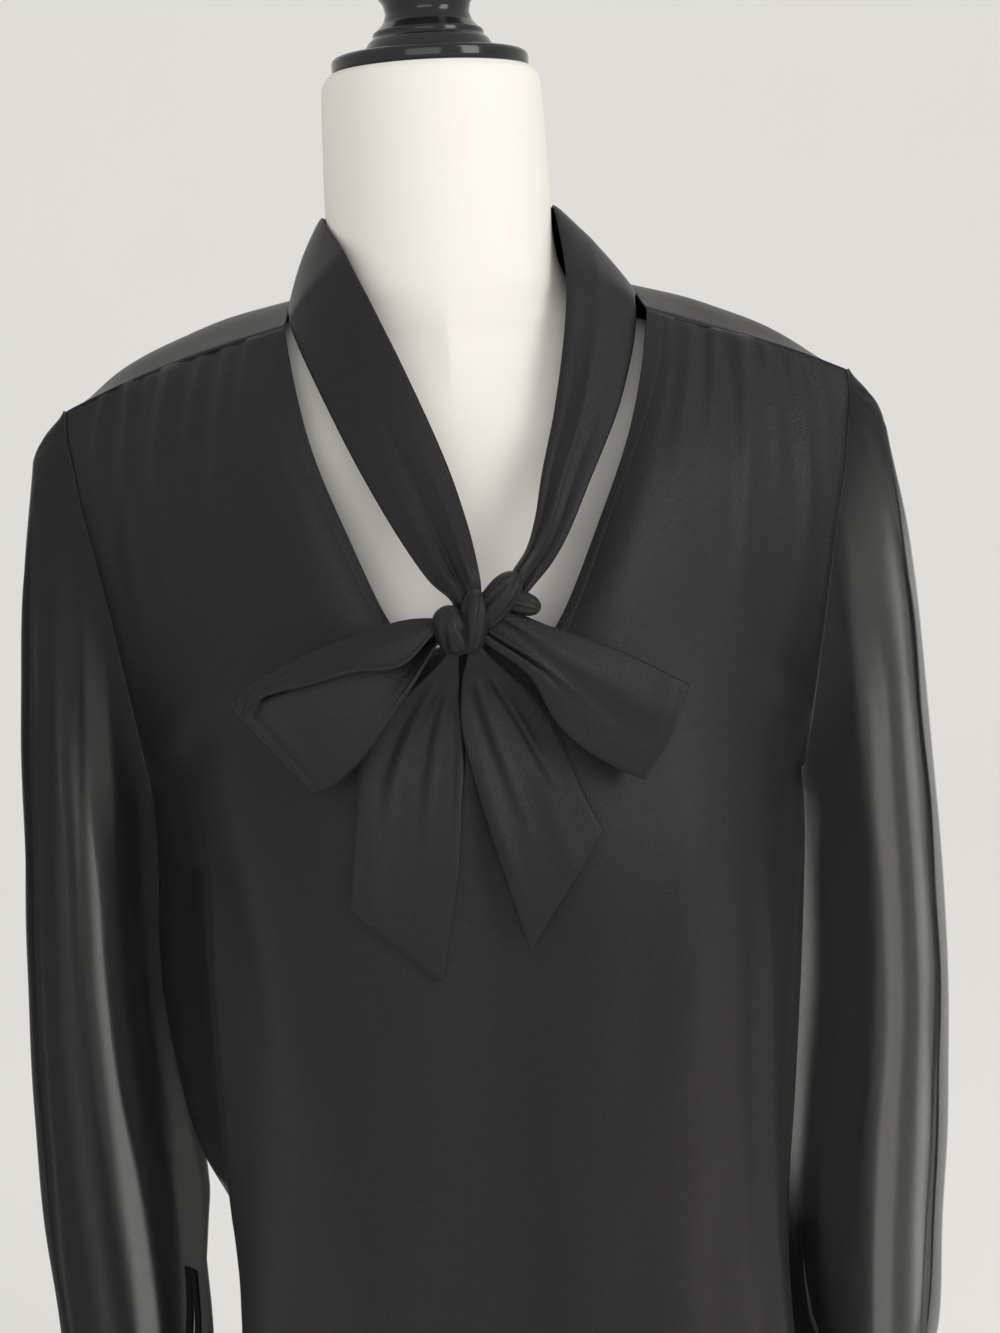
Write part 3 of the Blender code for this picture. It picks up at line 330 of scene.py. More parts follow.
# Folds of each sleeve. Columns: crest, half width and depth in millimetres, share of the
# valley beside it, first and last stop, then the turn in degrees at even stops of the
# whole sleeve.
SLEEVE_FOLDS = {
    -1: [
        (2, 6.0, 3.4, 0.7, 0.4, 9.4, 20, 26, 30, 28, 22),
        (2, 5.0, 3.0, 0.6, 1.2, 9.6, 47, 52, 50, 44, 40),
        (2, 5.5, 4.0, 0.7, 0.5, 8.6, 74, 78, 84, 82, 74),
        (2, 4.0, 2.6, 0.6, 2.0, 9.6, 96, 102, 104, 98, 95),
        (2, 6.0, 3.6, 0.6, 0.8, 9.2, 122, 120, 126, 132, 128),
        (2, 4.5, 2.4, 0.6, 2.5, 9.6, 150, 155, 158, 160, 158),
        (2, 7.0, 3.0, 0.6, 1.5, 9.4, 196, 190, 188, 194, 200),
        (2, 6.0, 3.4, 0.6, 0.8, 9.0, 240, 246, 252, 250, 244),
        (2, 5.0, 2.8, 0.6, 1.8, 9.6, 276, 280, 278, 270, 268),
        (2, 6.5, 3.8, 0.7, 0.5, 9.2, 306, 304, 310, 316, 312),
        (2, 4.5, 2.6, 0.6, 2.2, 9.6, 336, 340, 342, 338, 335),
    ],
    1: [
        (2, 5.5, 3.2, 0.7, 0.6, 9.4, 14, 20, 18, 14, 16),
        (2, 6.5, 3.8, 0.7, 0.4, 9.0, 44, 42, 46, 52, 48),
        (2, 4.5, 2.6, 0.6, 1.8, 9.6, 70, 74, 72, 68, 66),
        (2, 6.0, 4.2, 0.7, 0.5, 9.2, 100, 98, 102, 106, 102),
        (2, 4.5, 3.0, 0.6, 1.4, 9.6, 128, 132, 134, 130, 128),
        (2, 5.5, 2.8, 0.6, 2.4, 9.4, 158, 160, 156, 154, 158),
        (2, 7.0, 3.0, 0.6, 1.2, 9.2, 204, 200, 196, 198, 204),
        (2, 5.0, 2.6, 0.6, 2.0, 9.6, 236, 240, 244, 242, 238),
        (2, 6.5, 3.6, 0.7, 0.6, 9.0, 268, 264, 262, 268, 274),
        (2, 4.5, 2.8, 0.6, 1.6, 9.6, 298, 302, 306, 304, 300),
        (2, 6.0, 3.4, 0.6, 0.8, 9.4, 330, 328, 324, 326, 330),
    ],
}

# Where each sleeve lets light through: how much, half width in degrees, first and last
# stop, then the turn in degrees at even stops of the whole sleeve. Bands of the cloth in
# front and of the cloth behind line up in the picture. Each row is blended over those
# before it, and over what the rest of the sleeve lets through.
CLEAR_BANDS = {
    -1: [
        (0.80, 12, 1.9, 11, 98, 106, 110, 111, 111),
        (0.80, 14, 1.9, 11, 284, 278, 274, 272, 272),
        (0.46, 7, 1.9, 11, 80, 80, 79, 78, 78),
        (0.46, 9, 1.9, 11, 306, 308, 309, 310, 310),
        (0.0, 13, 2.0, 11, 138, 136, 135, 132, 130),
        (0.0, 15, 2.0, 11, 250, 250, 250, 250, 250),
        (0.50, 17, 5.0, 11, 172, 168, 162, 152, 144),
        (0.50, 26, 5.0, 11, 205, 208, 212, 222, 228),
    ],
    1: [
        (0.45, 30, 1.4, 11, 0, 0, 0, 0, 0),
        (0.97, 30, 1.4, 11, 44, 46, 46, 46, 46),
        (0.97, 28, 1.4, 11, 324, 322, 320, 320, 320),
        (0.60, 9, 1.5, 11, 98, 100, 100, 98, 96),
        (0.26, 7, 2.5, 11, 116, 116, 115, 114, 112),
        (0.80, 13, 1.5, 7, 178, 178, 178, 178, 178),
        (0.80, 26, 1.5, 7, 206, 206, 206, 206, 206),
        (0.0, 34, 7.2, 11, 165, 165, 165, 165, 165),
        (0.0, 20, 7.2, 11, 231, 231, 231, 231, 231),
    ],
}
CLEAR_ELSEWHERE = {-1: 0.27, 1: 0.32}
CLEAR_FADE = 0.8

# How far the body side of each sleeve reaches towards the body: stop and millimetres.
INNER_REACH = {
    -1: [(0, 0), (0.5, 3.5), (1, 8), (2, 8.5), (3, 6), (4, 5.5), (5, 7), (6, 8), (6.4, 7), (7, 0)],
    1: [(0, 0), (0.5, 4), (1, 9), (2, 9.5), (3, 8.5), (4, 11), (5, 11), (6, 7), (7, 7.5), (8, 8.5),
        (9, 9), (9.6, 3), (10, 0)],
}
REACH_TURN = math.radians(198)
REACH_HALF = math.radians(36)


def smooth_step(low, high, value):
    t = np.clip((value - low) / (high - low), 0.0, 1.0)
    return t * t * (3 - 2 * t)


def spline(points, t, before=None, after=None):
    """The place at each t, counted in points, on a smooth curve through them."""
    points = np.asarray(points, float)
    first = points[0] * 2 - points[1] if before is None else np.asarray(before, float)
    last = points[-1] * 2 - points[-2] if after is None else np.asarray(after, float)
    full = np.vstack([first, points, last])
    t = np.atleast_1d(np.asarray(t, float))
    index = np.clip(t.astype(int), 0, len(points) - 2)
    f = (t - index)[:, None]
    p0, p1, p2, p3 = (full[index + k] for k in range(4))
    return 0.5 * (
        p1 * 2
        + (p2 - p0) * f
        + (p0 * 2 - p1 * 5 + p2 * 4 - p3) * f**2
        + (p1 * 3 - p0 - p2 * 3 + p3) * f**3
    )


def mirror(place):
    return np.array((-place[0], place[1], place[2]), float)


def split_curve(column, rows, split, before):
    """A column that turns off sharply at split, with a ghost place before the upper part."""
    low = spline(column[: split + 1], rows)
    high = spline(column[split:], rows - split, before=before)
    return np.where((rows <= split)[:, None], low, high)


def shifted_table(table, side, column_shifts):
    places = np.array(table, float)
    for column, shifts in column_shifts:
        for (shift_side, row), shift in shifts.items():
            if shift_side == side:
                places[row, column, 0] += shift
    return places


def front_grid(side, us, rows):
    """Places of the front half panel, by row and then across."""
    table = shifted_table(FRONT, side, ((0, NECK_SHIFT), (4, SEAM_SHIFT)))
    centre = table[:, 0]
    stops = [split_curve(centre, rows, POINT_OF_V, mirror(centre[POINT_OF_V + 1]))]
    stops += [spline(table[:, c], rows) for c in range(1, 4)]
    stops.append(split_curve(table[:, 4], rows, ARMPIT, BACK[ARMPIT + 1][0]))
    grid = []
    for row, across in zip(rows, np.stack(stops, 1)):
        before = mirror(across[1]) if row <= POINT_OF_V else None
        grid.append(spline(across, us * 4, before=before))
    return placed(np.array(grid), side)


def back_grid(side, us, rows):
    table = shifted_table(BACK, side, ((3, BACK_NECK_SHIFT), (0, SEAM_SHIFT)))
    centre = table[:, 3]
    stops = [split_curve(table[:, 0], rows, ARMPIT, FRONT[ARMPIT + 1][-1])]
    stops += [spline(table[:, c], rows) for c in range(1, 3)]
    stops.append(split_curve(centre, rows, BACK_NECK, mirror(centre[BACK_NECK + 1])))
    grid = []
    for row, across in zip(rows, np.stack(stops, 1)):
        after = mirror(across[2]) if row <= BACK_NECK else None
        grid.append(spline(across, us * 3, after=after))
    return placed(np.array(grid), side)


def placed(grid, side):
    grid[..., 0] = grid[..., 0] * side + BLOUSE_SHIFT
    return grid


def outward(grid, flip):
    """The direction away from a grid of places at each of them."""
    down = np.gradient(grid, axis=0)
    across = np.gradient(grid, axis=1)
    away = np.cross(across, down)
    length = np.linalg.norm(away, axis=-1, keepdims=True)
    return away / np.maximum(length, 1e-9) * (-1 if flip else 1)


def profile(away, crest, width, valley):
    ridge = np.exp(-np.abs(away / width) ** crest)
    return ridge - valley * np.exp(-np.abs((away - 1.7 * width) / (1.2 * width)) ** 2)


def taper(share, rise, fall):
    return smooth_step(0.0, max(rise, 1e-6), share) * (1 - smooth_step(1 - fall, 1.0, share))


def fold_height(x, z, table):
    """How far the folds of a table stand out at places of a panel."""
    height = np.zeros_like(x)
    for crest, width, high, valley, rise, fall, *line in table:
        ends = np.array(line, float).reshape(-1, 2)
        line = spline(ends, np.linspace(0, len(ends) - 1, 12))
        steps = np.linalg.norm(np.diff(line, axis=0), axis=1)
        nearest = np.full(x.shape, np.inf)
        away = np.zeros_like(x)
        share = np.zeros_like(x)
        run = 0.0
        for start, end, step in zip(line, line[1:], steps):
            along = (end - start) / step
            px = x - start[0]
            pz = z - start[1]
            on = np.clip(px * along[0] + pz * along[1], 0, step)
            distance = np.hypot(px - on * along[0], pz - on * along[1])
            closer = distance < nearest
            nearest = np.where(closer, distance, nearest)
            sign = np.sign(px * along[1] - pz * along[0])
            away = np.where(closer, sign * distance, away)
            share = np.where(closer, (run + on) / steps.sum(), share)
            run += step
        height += high * profile(away, crest, width, valley) * taper(share, rise, fall)
    return height


def mesh_object(name, places, faces, look):
    mesh = bpy.data.meshes.new(name)
    mesh.from_pydata((np.asarray(places) * MM).tolist(), [], [list(map(int, f)) for f in faces])
    mesh.update()
    mesh.shade_smooth()
    mesh.materials.append(look)
    made = bpy.data.objects.new(name, mesh)
    bpy.context.scene.collection.objects.link(made)
    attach(made, "root")
    return made


def quads(rows, columns, first=0, flip=False, wrap=False):
    """Corner numbers of the faces between points laid row by row."""
    across = np.arange(columns if wrap else columns - 1)
    j, i = np.meshgrid(np.arange(rows - 1), across, indexing="ij")
    a = first + j * columns + i
    b = first + j * columns + (i + 1) % columns
    faces = np.stack([a, b, b + columns, a + columns], -1).reshape(-1, 4)
    return faces[:, ::-1] if flip else faces


def grid_object(name, grid, look, flip=False, wrap=False):
    faces = quads(*grid.shape[:2], 0, flip, wrap)
    return mesh_object(name, grid.reshape(-1, 3), faces, look)


def weld(made, distance=0.02):
    """Join points of a mesh that meet."""
    cloth = bmesh.new()
    cloth.from_mesh(made.data)
    bmesh.ops.remove_doubles(cloth, verts=cloth.verts, dist=distance * MM)
    cloth.to_mesh(made.data)
    cloth.free()


def thicken(made, wall):
    """Give a shell its wall, in millimetres."""
    solid = made.modifiers.new("wall", "SOLIDIFY")
    solid.thickness = wall * MM
    solid.offset = 0.0
    return made


def add_shell(name, node, grid, look, wall, flip=False):
    """A shell of cloth on a grid of places, shown in the stead of a CAD node."""
    made = thicken(grid_object(name, grid, look, flip), wall)
    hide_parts(node)
    return made


def arc_lengths(line):
    return np.concatenate([[0.0], np.cumsum(np.linalg.norm(np.diff(line, axis=0), axis=1))])


def resample(line, count):
    """Places at even lengths along a line."""
    lengths = arc_lengths(line)
    at = np.linspace(0, lengths[-1], count)
    return np.stack([np.interp(at, lengths, line[:, c]) for c in range(3)], 1)


STITCH_LENGTH = 2.4
STITCH_GAP = 1.0
STITCH_RADIUS = 0.17
MARKS_A_STITCH = 4
WAIST_SHARES = (0.2, 0.8)
THREAD_SIDES = 4
STITCH_UP = (0.0, 0.31, 0.95)


def add_stitches(name, lines, look, length=STITCH_LENGTH, gap=STITCH_GAP, radius=STITCH_RADIUS):
    """Short spindles of thread that follow lines of places."""
    places = []
    faces = []
    for line in lines:
        line = np.asarray(line, float)
        count = max(2, int(arc_lengths(line)[-1] / (length + gap)))
        marks = resample(line, count * MARKS_A_STITCH + 1)
        for n in range(count):
            start = marks[n * MARKS_A_STITCH]
            end = marks[(n + 1) * MARKS_A_STITCH - 1]
            along = (end - start) / max(np.linalg.norm(end - start), 1e-9)
            side = np.cross(along, STITCH_UP)
            side /= max(np.linalg.norm(side), 1e-9)
            up = np.cross(side, along)
            first = len(places)
            places.append(start)
            for share in WAIST_SHARES:
                centre = start + (end - start) * share
                for c, s in ((1, 0), (0, 1), (-1, 0), (0, -1)):
                    places.append(centre + (side * c + up * s) * radius)
            places.append(end)
            low = first + 1
            high = low + THREAD_SIDES
            for k in range(THREAD_SIDES):
                m = (k + 1) % THREAD_SIDES
                faces.append((first, low + m, low + k))
                faces.append((low + k, low + m, high + m, high + k))
                faces.append((high + k, high + m, high + THREAD_SIDES))
    return mesh_object(name, places, faces, look)


HEM_FOLD_DEPTH = 3.5
HEM_FOLD_HEIGHTS = (300.0, 600.0)
HEM_WAVES = ((0.6, 19.0, 0.0), (0.3, 9.5, 1.0))
HEM_LAG_BEHIND = 40.0
HEM_TURN = 12.0
HEM_STITCH = HEM_TURN - 1.5
TURN_STEP = 0.4
STITCH_LIFT = 0.5
FACING_STITCH = 8.5
FACING_EDGE = 1.2
FACING_SINK = 0.35
FACING_SINK_WIDTH = 0.9
EDGE_CLEAR = 12.0
NECK_CLEAR = (4, 24)
HEM_CLEAR = 60.0
BACK_HEM_CLEAR = 50.0
BACK_EDGE_CLEAR = 16.0
BACK_NECK_CLEAR = 30.0
SEAM_CLEAR = 20.0
UNEVEN_DEPTH = 0.35
BACK_UNEVEN_DEPTH = 0.4
CREPE_WALL = 0.8
FRONT_ROWS = (88, 92)
FRONT_COLUMNS = 104
BACK_ROWS = (70, 80)
BACK_COLUMNS = 84
POINT_DRAWN_UP = 30.0
POINT_DRAWN_ROWS = 1.3
POINT_DRAWN_X = 36.0
SEAM_WIDTH = 2.0
SEAM_SINK = 0.6


def hem_depth(x, z):
    """Depth of the broad upright folds that deepen towards the hem."""
    wave = sum(share * np.sin(x / length + lag) for share, length, lag in HEM_WAVES)
    return HEM_FOLD_DEPTH * wave * (1 - smooth_step(*HEM_FOLD_HEIGHTS, z))


def uneven(grid, depth):
    """Slight unevenness of hung cloth."""
    x, y, z = np.moveaxis(grid, -1, 0)
    broad = np.sin(x / 13 + z / 41 + 1.3) * np.sin(z / 23 - x / 37)
    return depth * (broad + 0.5 * np.sin(x / 7.3 - z / 19 + y / 11))


def across_lengths(grid):
    steps = np.linalg.norm(np.diff(grid, axis=1), axis=-1)
    return np.concatenate([np.zeros((len(grid), 1)), np.cumsum(steps, axis=1)], 1)


def up_lengths(grid):
    return across_lengths(np.swapaxes(grid, 0, 1)).T


def place_at(row, lengths, distance):
    return np.array([np.interp(distance, lengths, row[:, c]) for c in range(3)])


def line_at(grid, lengths, distance):
    """Places at a distance from the first column of each row of a grid."""
    return np.array([place_at(*row, distance) for row in zip(grid, lengths)])


def bell(away, width):
    return np.exp(-((away / width) ** 2))


def hem_and_seams(from_hem, to_seam, to_side):
    """The hem's turned edge stands out, and the shoulder and side seams lie sunk."""
    raised = TURN_STEP * (1 - smooth_step(HEM_TURN, HEM_TURN + 1.5, from_hem))
    return raised - SEAM_SINK * (bell(to_seam, SEAM_WIDTH) + bell(to_side, SEAM_WIDTH))


def body_rows(below, above):
    low = np.linspace(0, ARMPIT, below, endpoint=False)
    return np.concatenate([low, np.linspace(ARMPIT, LAST_ROW, above)])


def add_panel(word, grids, look):
    """The two halves of a panel as one piece of cloth."""
    size = grids[0].shape[0] * grids[0].shape[1]
    faces = [quads(*grid.shape[:2], n * size, flip=n == 0) for n, grid in enumerate(grids)]
    places = np.concatenate(grids).reshape(-1, 3)
    made = mesh_object(word + "_cloth", places, np.vstack(faces), look)
    weld(made)
    thicken(made, CREPE_WALL)
    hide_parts(word)
    return made


def add_front(look, thread):
    rows = body_rows(*FRONT_ROWS)
    us = np.linspace(0, 1, FRONT_COLUMNS)
    grids = []
    stitched = []
    hems = []
    for side in (-1, 1):
        grid = front_grid(side, us, rows)
        # Under the bow the knot draws the point of the neckline up.
        drawn = bell(rows - POINT_OF_V, POINT_DRAWN_ROWS)[:, None]
        grid[..., 2] += POINT_DRAWN_UP * drawn * bell(grid[..., 0] - BLOUSE_SHIFT, POINT_DRAWN_X)
        away = outward(grid, side < 0)
        from_edge = across_lengths(grid)
        from_hem = up_lengths(grid)
        to_seam = from_hem[-1] - from_hem
        to_side = from_edge[:, -1:] - from_edge
        x = grid[..., 0]
        z = grid[..., 2]
        above = (rows > POINT_OF_V)[:, None]
        by_side = smooth_step(0, EDGE_CLEAR, to_side)
        clear = np.where(above, smooth_step(*NECK_CLEAR, from_edge), 1.0) * by_side
        raised = (fold_height(x, z, FRONT_FOLDS) + uneven(grid, UNEVEN_DEPTH)) * clear
        raised += fold_height(x, z, RIDGES) * by_side + fold_height(x, z, DARTS)
        raised += hem_depth(x - BLOUSE_SHIFT, z) * smooth_step(0, HEM_CLEAR, to_side)
        facing = 1 - smooth_step(FACING_STITCH, FACING_STITCH + FACING_EDGE, from_edge)
        sunk = FACING_SINK * bell(from_edge - FACING_STITCH, FACING_SINK_WIDTH)
        raised += np.where(above, TURN_STEP * facing - sunk, 0)
        raised += hem_and_seams(from_hem, to_seam, to_side)
        grid = grid + away * raised[..., None]
        lifted = grid + away * STITCH_LIFT
        stitched.append(line_at(lifted, from_edge, FACING_STITCH)[rows > POINT_OF_V + 0.4])
        hems.append(line_at(np.swapaxes(lifted, 0, 1), from_hem.T, HEM_STITCH))
        grids.append(grid)
    made = add_panel("front", grids, look)
    return made, add_stitches("front_stitching", stitched + hems, thread)


def add_back(look, thread):
    rows = body_rows(*BACK_ROWS)
    us = np.linspace(0, 1, BACK_COLUMNS)
    grids = []
    hems = []
    for side in (-1, 1):
        grid = back_grid(side, us, rows)
        seam = front_grid(side, np.array([1.0]), rows)[:, 0]
        below = rows <= ARMPIT
        grid[below, 0] = seam[below]
        grid[-1] = front_grid(side, 1 - us, np.array([float(LAST_ROW)]))[0]
        away = outward(grid, side < 0)
        from_side = across_lengths(grid)
        from_hem = up_lengths(grid)
        to_seam = from_hem[-1] - from_hem
        x = grid[..., 0]
        z = grid[..., 2]
        to_neck = from_side[:, -1:] - from_side
        near_neck = smooth_step(BACK_NECK - 2, BACK_NECK, rows)[:, None]
        clear = 1 - near_neck * (1 - smooth_step(0, BACK_NECK_CLEAR, to_neck))
        clear *= smooth_step(0, BACK_EDGE_CLEAR, from_side) * smooth_step(0, SEAM_CLEAR, to_seam)
        raised = (fold_height(x, z, BACK_FOLDS) + uneven(grid, BACK_UNEVEN_DEPTH)) * clear
        by_side = smooth_step(0, BACK_HEM_CLEAR, from_side)
        raised += hem_depth(x - BLOUSE_SHIFT + HEM_LAG_BEHIND, z) * by_side
        raised += hem_and_seams(from_hem, to_seam, from_side)
        grid = grid + away * raised[..., None]
        lifted = grid + away * STITCH_LIFT
        hems.append(line_at(np.swapaxes(lifted, 0, 1), from_hem.T, HEM_STITCH))
        grids.append(grid)
    made = add_panel("back", grids, look)
    return made, add_stitches("back_stitching", hems, thread)


def sleeve_section(side, index, turn):
    """A point of a sleeve section; turn runs from the outer side by way of the front."""
    outer_x, outer_z, inner_x, inner_z, front_y, back_y = spline(SLEEVE, index).T
    a, b, c, d = SPREAD_ROWS
    spread = smooth_step(a, b, index) * (1 - smooth_step(c, d, index))
    outer_x = outer_x + SLEEVE_SPREAD[side] * spread
    across = math.cos(turn)
    depth = front_y if math.sin(turn) > 0 else back_y
    x = (outer_x + inner_x) / 2 + (outer_x - inner_x) / 2 * across
    z = (outer_z + inner_z) / 2 + (outer_z - inner_z) / 2 * across
    return np.stack([x, depth * abs(math.sin(turn)), z], 1)


def armhole_place(side, turn):
    """The armhole at a turn, on the garment's own middle and mirrored to its left."""
    if turn <= math.pi:
        row = np.array([LAST_ROW - ARMHOLE_ROWS * turn / math.pi])
        place = front_grid(side, np.array([1.0]), row)[0, 0]
    else:
        row = np.array([ARMPIT + ARMHOLE_ROWS * (turn / math.pi - 1)])
        place = back_grid(side, np.array([0.0]), row)[0, 0]
    return np.array([(place[0] - BLOUSE_SHIFT) * side, place[1], place[2]])


def even_turns(rows, stops):
    """Turns in radians at each stop, on a smooth curve through a row's even stops."""
    marks = stops / LAST_STOP * (len(rows) - 1)
    return np.radians(spline(np.array(rows, float)[:, None], marks)[:, 0])


def turn_apart(turns, centre):
    return (turns - centre + math.pi) % (2 * math.pi) - math.pi


SLEEVE_RADIUS = 46.0
FOLD_RISE = 0.22
FOLD_FALL = 0.16


def sleeve_detail(side, stops, turns):
    """How far the folds of a sleeve stand out, by stop and turn."""
    height = np.zeros((len(stops), len(turns)))
    for crest, width, high, valley, first, last, *line in SLEEVE_FOLDS[side]:
        centre = even_turns(line, stops)[:, None]
        away = turn_apart(turns[None, :], centre) * SLEEVE_RADIUS
        share = np.clip((stops - first) / (last - first), 0, 1)
        fade = taper(share, FOLD_RISE, FOLD_FALL)[:, None]
        height += high * profile(away, crest, width, valley) * fade
    return height


def sleeve_clearness(side, stops, turns):
    clear = np.full((len(stops), len(turns)), CLEAR_ELSEWHERE[side])
    for much, half, first, last, *line in CLEAR_BANDS[side]:
        centre = even_turns(line, stops)[:, None]
        away = np.abs(turn_apart(turns[None, :], centre))
        band = 1 - smooth_step(0.6, 1.25, away / math.radians(half))
        fade = smooth_step(first - CLEAR_FADE, first + CLEAR_FADE, stops)
        fade = fade * (1 - smooth_step(last - CLEAR_FADE, last + CLEAR_FADE, stops))
        clear += (much - clear) * band * fade[:, None]
    return clear


def sleeve_grid(side, stops, turns):
    columns = []
    low = stops < 1
    for turn in turns:
        start = armhole_place(side, turn % (2 * math.pi))
        first, second = sleeve_section(side, np.array([0.0, 1.0]), turn)
        near = spline([start, first, second], stops, before=start * 2 - first)
        far = sleeve_section(side, np.maximum(stops - 1, 0), turn)
        columns.append(np.where(low[:, None], near, far))
    return placed(np.stack(columns, 1), side)


SLEEVE_WALL = 0.5
CAP_STOPS = 14
STOPS_BELOW_CAP = 150
SLEEVE_TURNS = 161
SLEEVE_UNEVEN = 0.5
CUFF_GATHERS = 0.8
CAP_GATHERS = 0.5
CAP_SEAM_SINK = 0.5
CAP_SEAM_STOPS = 0.12
REACH_DAMPS = 0.8
SLIT_FADE = 9


def add_sleeve(side, word, look):
    cap = np.linspace(0, 1, CAP_STOPS, endpoint=False)
    stops = np.concatenate([cap, np.linspace(1, LAST_STOP, STOPS_BELOW_CAP)])
    turns = SLIT_TURN + np.linspace(0, 2 * math.pi, SLEEVE_TURNS)
    grid = sleeve_grid(side, stops, turns)
    grid[:, -1] = grid[:, 0]
    away = outward(grid, side > 0)
    away[:, -1] = away[:, 0]
    # Small gathers stand close together at the cuff and at the cap's seam.
    gathers = np.sin(26 * turns + 1.1 * np.sin(3 * turns))
    by_cuff = CUFF_GATHERS * smooth_step(9.2, 9.8, stops)
    by_cap = CAP_GATHERS * smooth_step(0, 0.3, stops) * (1 - smooth_step(0.3, 1.4, stops))
    raised = sleeve_detail(side, stops, turns) + gathers * (by_cuff + by_cap)[:, None]
    raised += uneven(grid, SLEEVE_UNEVEN) * smooth_step(1, 3, stops)[:, None]
    raised -= CAP_SEAM_SINK * bell(stops, CAP_SEAM_STOPS)[:, None]
    inner = bell(turn_apart(turns, REACH_TURN), REACH_HALF)
    raised *= 1 - REACH_DAMPS * inner
    raised[:, -1] = raised[:, 0]
    grid = grid + away * raised[..., None]
    reach = np.interp(stops, *np.array(INNER_REACH[side], float).T)[:, None]
    grid[..., 0] -= side * reach * inner
    # The two edges of the slit stand apart towards the cuff.
    spread = np.interp(stops, SLIT_STOPS, SLIT_SPREADS, left=0)[:, None]
    along = grid[:, 1] - grid[:, -2]
    along /= np.linalg.norm(along, axis=1, keepdims=True)
    lengths = across_lengths(grid)
    for from_edge, sign in ((lengths, 1), (lengths[:, -1:] - lengths, -1)):
        moved = sign * spread * np.exp(-from_edge / SLIT_FADE)
        grid = grid + along[:, None] * moved[..., None]
    made = grid_object("sleeve_cloth_" + word, grid, look, side < 0)
    clear = made.data.attributes.new("clearness", "FLOAT", "POINT")
    clear.data.foreach_set("value", sleeve_clearness(side, stops, turns).ravel().astype(np.float32))
    weld(made)
    thicken(made, SLEEVE_WALL)
    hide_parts("sleeve_" + word)
    return made, grid, away


BINDING_FROM = 0.74
BINDING_OFFSETS = (5.0, 3.4, 1.6, 0.3)
BINDING_LIFT = 0.55
BINDING_WALL = 0.4


def add_binding(side, word, grid, away, look):
    """The strip that binds the slit, wrapped round both its edges."""
    first = int(len(grid) * BINDING_FROM)
    grid = grid[first:]
    lengths = across_lengths(grid)
    wrapped = [(offset, BINDING_LIFT) for offset in BINDING_OFFSETS]
    wrapped += [(offset, -BINDING_LIFT) for offset in reversed(BINDING_OFFSETS)]
    places = []
    faces = []
    for edge, start, sign in ((0, 0 * lengths[:, -1], 1), (-1, lengths[:, -1], -1)):
        strip = []
        for offset, lift in wrapped:
            line = [place_at(*row) for row in zip(grid, lengths, start + sign * offset)]
            strip.append(np.array(line) + away[first:, edge] * lift)
        strip = np.swapaxes(np.array(strip), 0, 1)
        flip = (edge == 0) == (side > 0)
        faces.append(quads(*strip.shape[:2], sum(map(len, places)), flip))
        places.append(strip.reshape(-1, 3))
    made = mesh_object("slit_binding_cloth_" + word, np.vstack(places), np.vstack(faces), look)
    thicken(made, BINDING_WALL)
    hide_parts("slit_binding_" + word)
    return made


def cuff_place(side, share, z):
    """A point of the cuff, whose outer end laps over its start at the slit."""
    outer_x, _, inner_x, _, _, depth = SLEEVE[-1]
    start = SLIT_TURN / (2 * math.pi) - CUFF_OVERLAP / 2
    turn = 2 * math.pi * (start + share * (1 + CUFF_OVERLAP))
    step = CUFF_STEP * smooth_step(1 - 3 * CUFF_OVERLAP, 1 - CUFF_OVERLAP, share)
    x = (outer_x + inner_x) / 2 + ((outer_x - inner_x) / 2 + step) * np.cos(turn)
    y = -(depth + step) * np.sin(turn)
    return np.stack([x * side + BLOUSE_SHIFT, y, z + 0 * x], -1)


CUFF_SHELL = 1.5
CUFF_DENT = 0.35
CUFF_STITCH_LIFT = 0.85


def add_cuff(side, word, look, thread):
    shares = np.linspace(0, 1, 140)
    heights = np.linspace(CUFF_BOTTOM, CUFF_TOP, 18)
    grid = np.stack([cuff_place(side, shares, z) for z in heights])
    away = outward(grid, side > 0)
    turns = 2 * math.pi * shares
    dents = CUFF_DENT * np.sin(5 * turns + 0.7) * np.sin(heights / 11)[:, None]
    grid = grid + away * dents[..., None]
    made = add_shell("cuff_cloth_" + word, "cuff_" + word, grid, look, CUFF_SHELL, side < 0)
    lifted = grid + away * CUFF_STITCH_LIFT
    lines = [lifted[1], lifted[-2], lifted[1:-1, 2], lifted[1:-1, -3]]
    return made, add_stitches("cuff_stitching_" + word, lines, thread)


BUTTON_PROFILE = [
    (0.0, 0.0), (4.4, 0.0), (5.1, 0.2), (5.5, 0.7), (5.5, 1.5), (5.2, 2.1), (4.6, 2.4),
    (3.9, 2.25), (3.2, 1.75), (2.4, 1.6), (0.0, 1.6),
]
BUTTON_STANDS = 0.35
HOLE_REACH = 1.15
HOLE_SIGNS = ((1, 1), (-1, 1), (-1, -1), (1, -1))
DISH_Z = 1.62


def turned_mesh(profile, sides):
    places = []
    for radius, height in profile:
        turn = np.linspace(0, 2 * math.pi, sides, endpoint=False)
        places.append(np.stack([radius * np.cos(turn), radius * np.sin(turn), height + 0 * turn], 1))
    return np.vstack(places), quads(len(profile), sides, wrap=True)


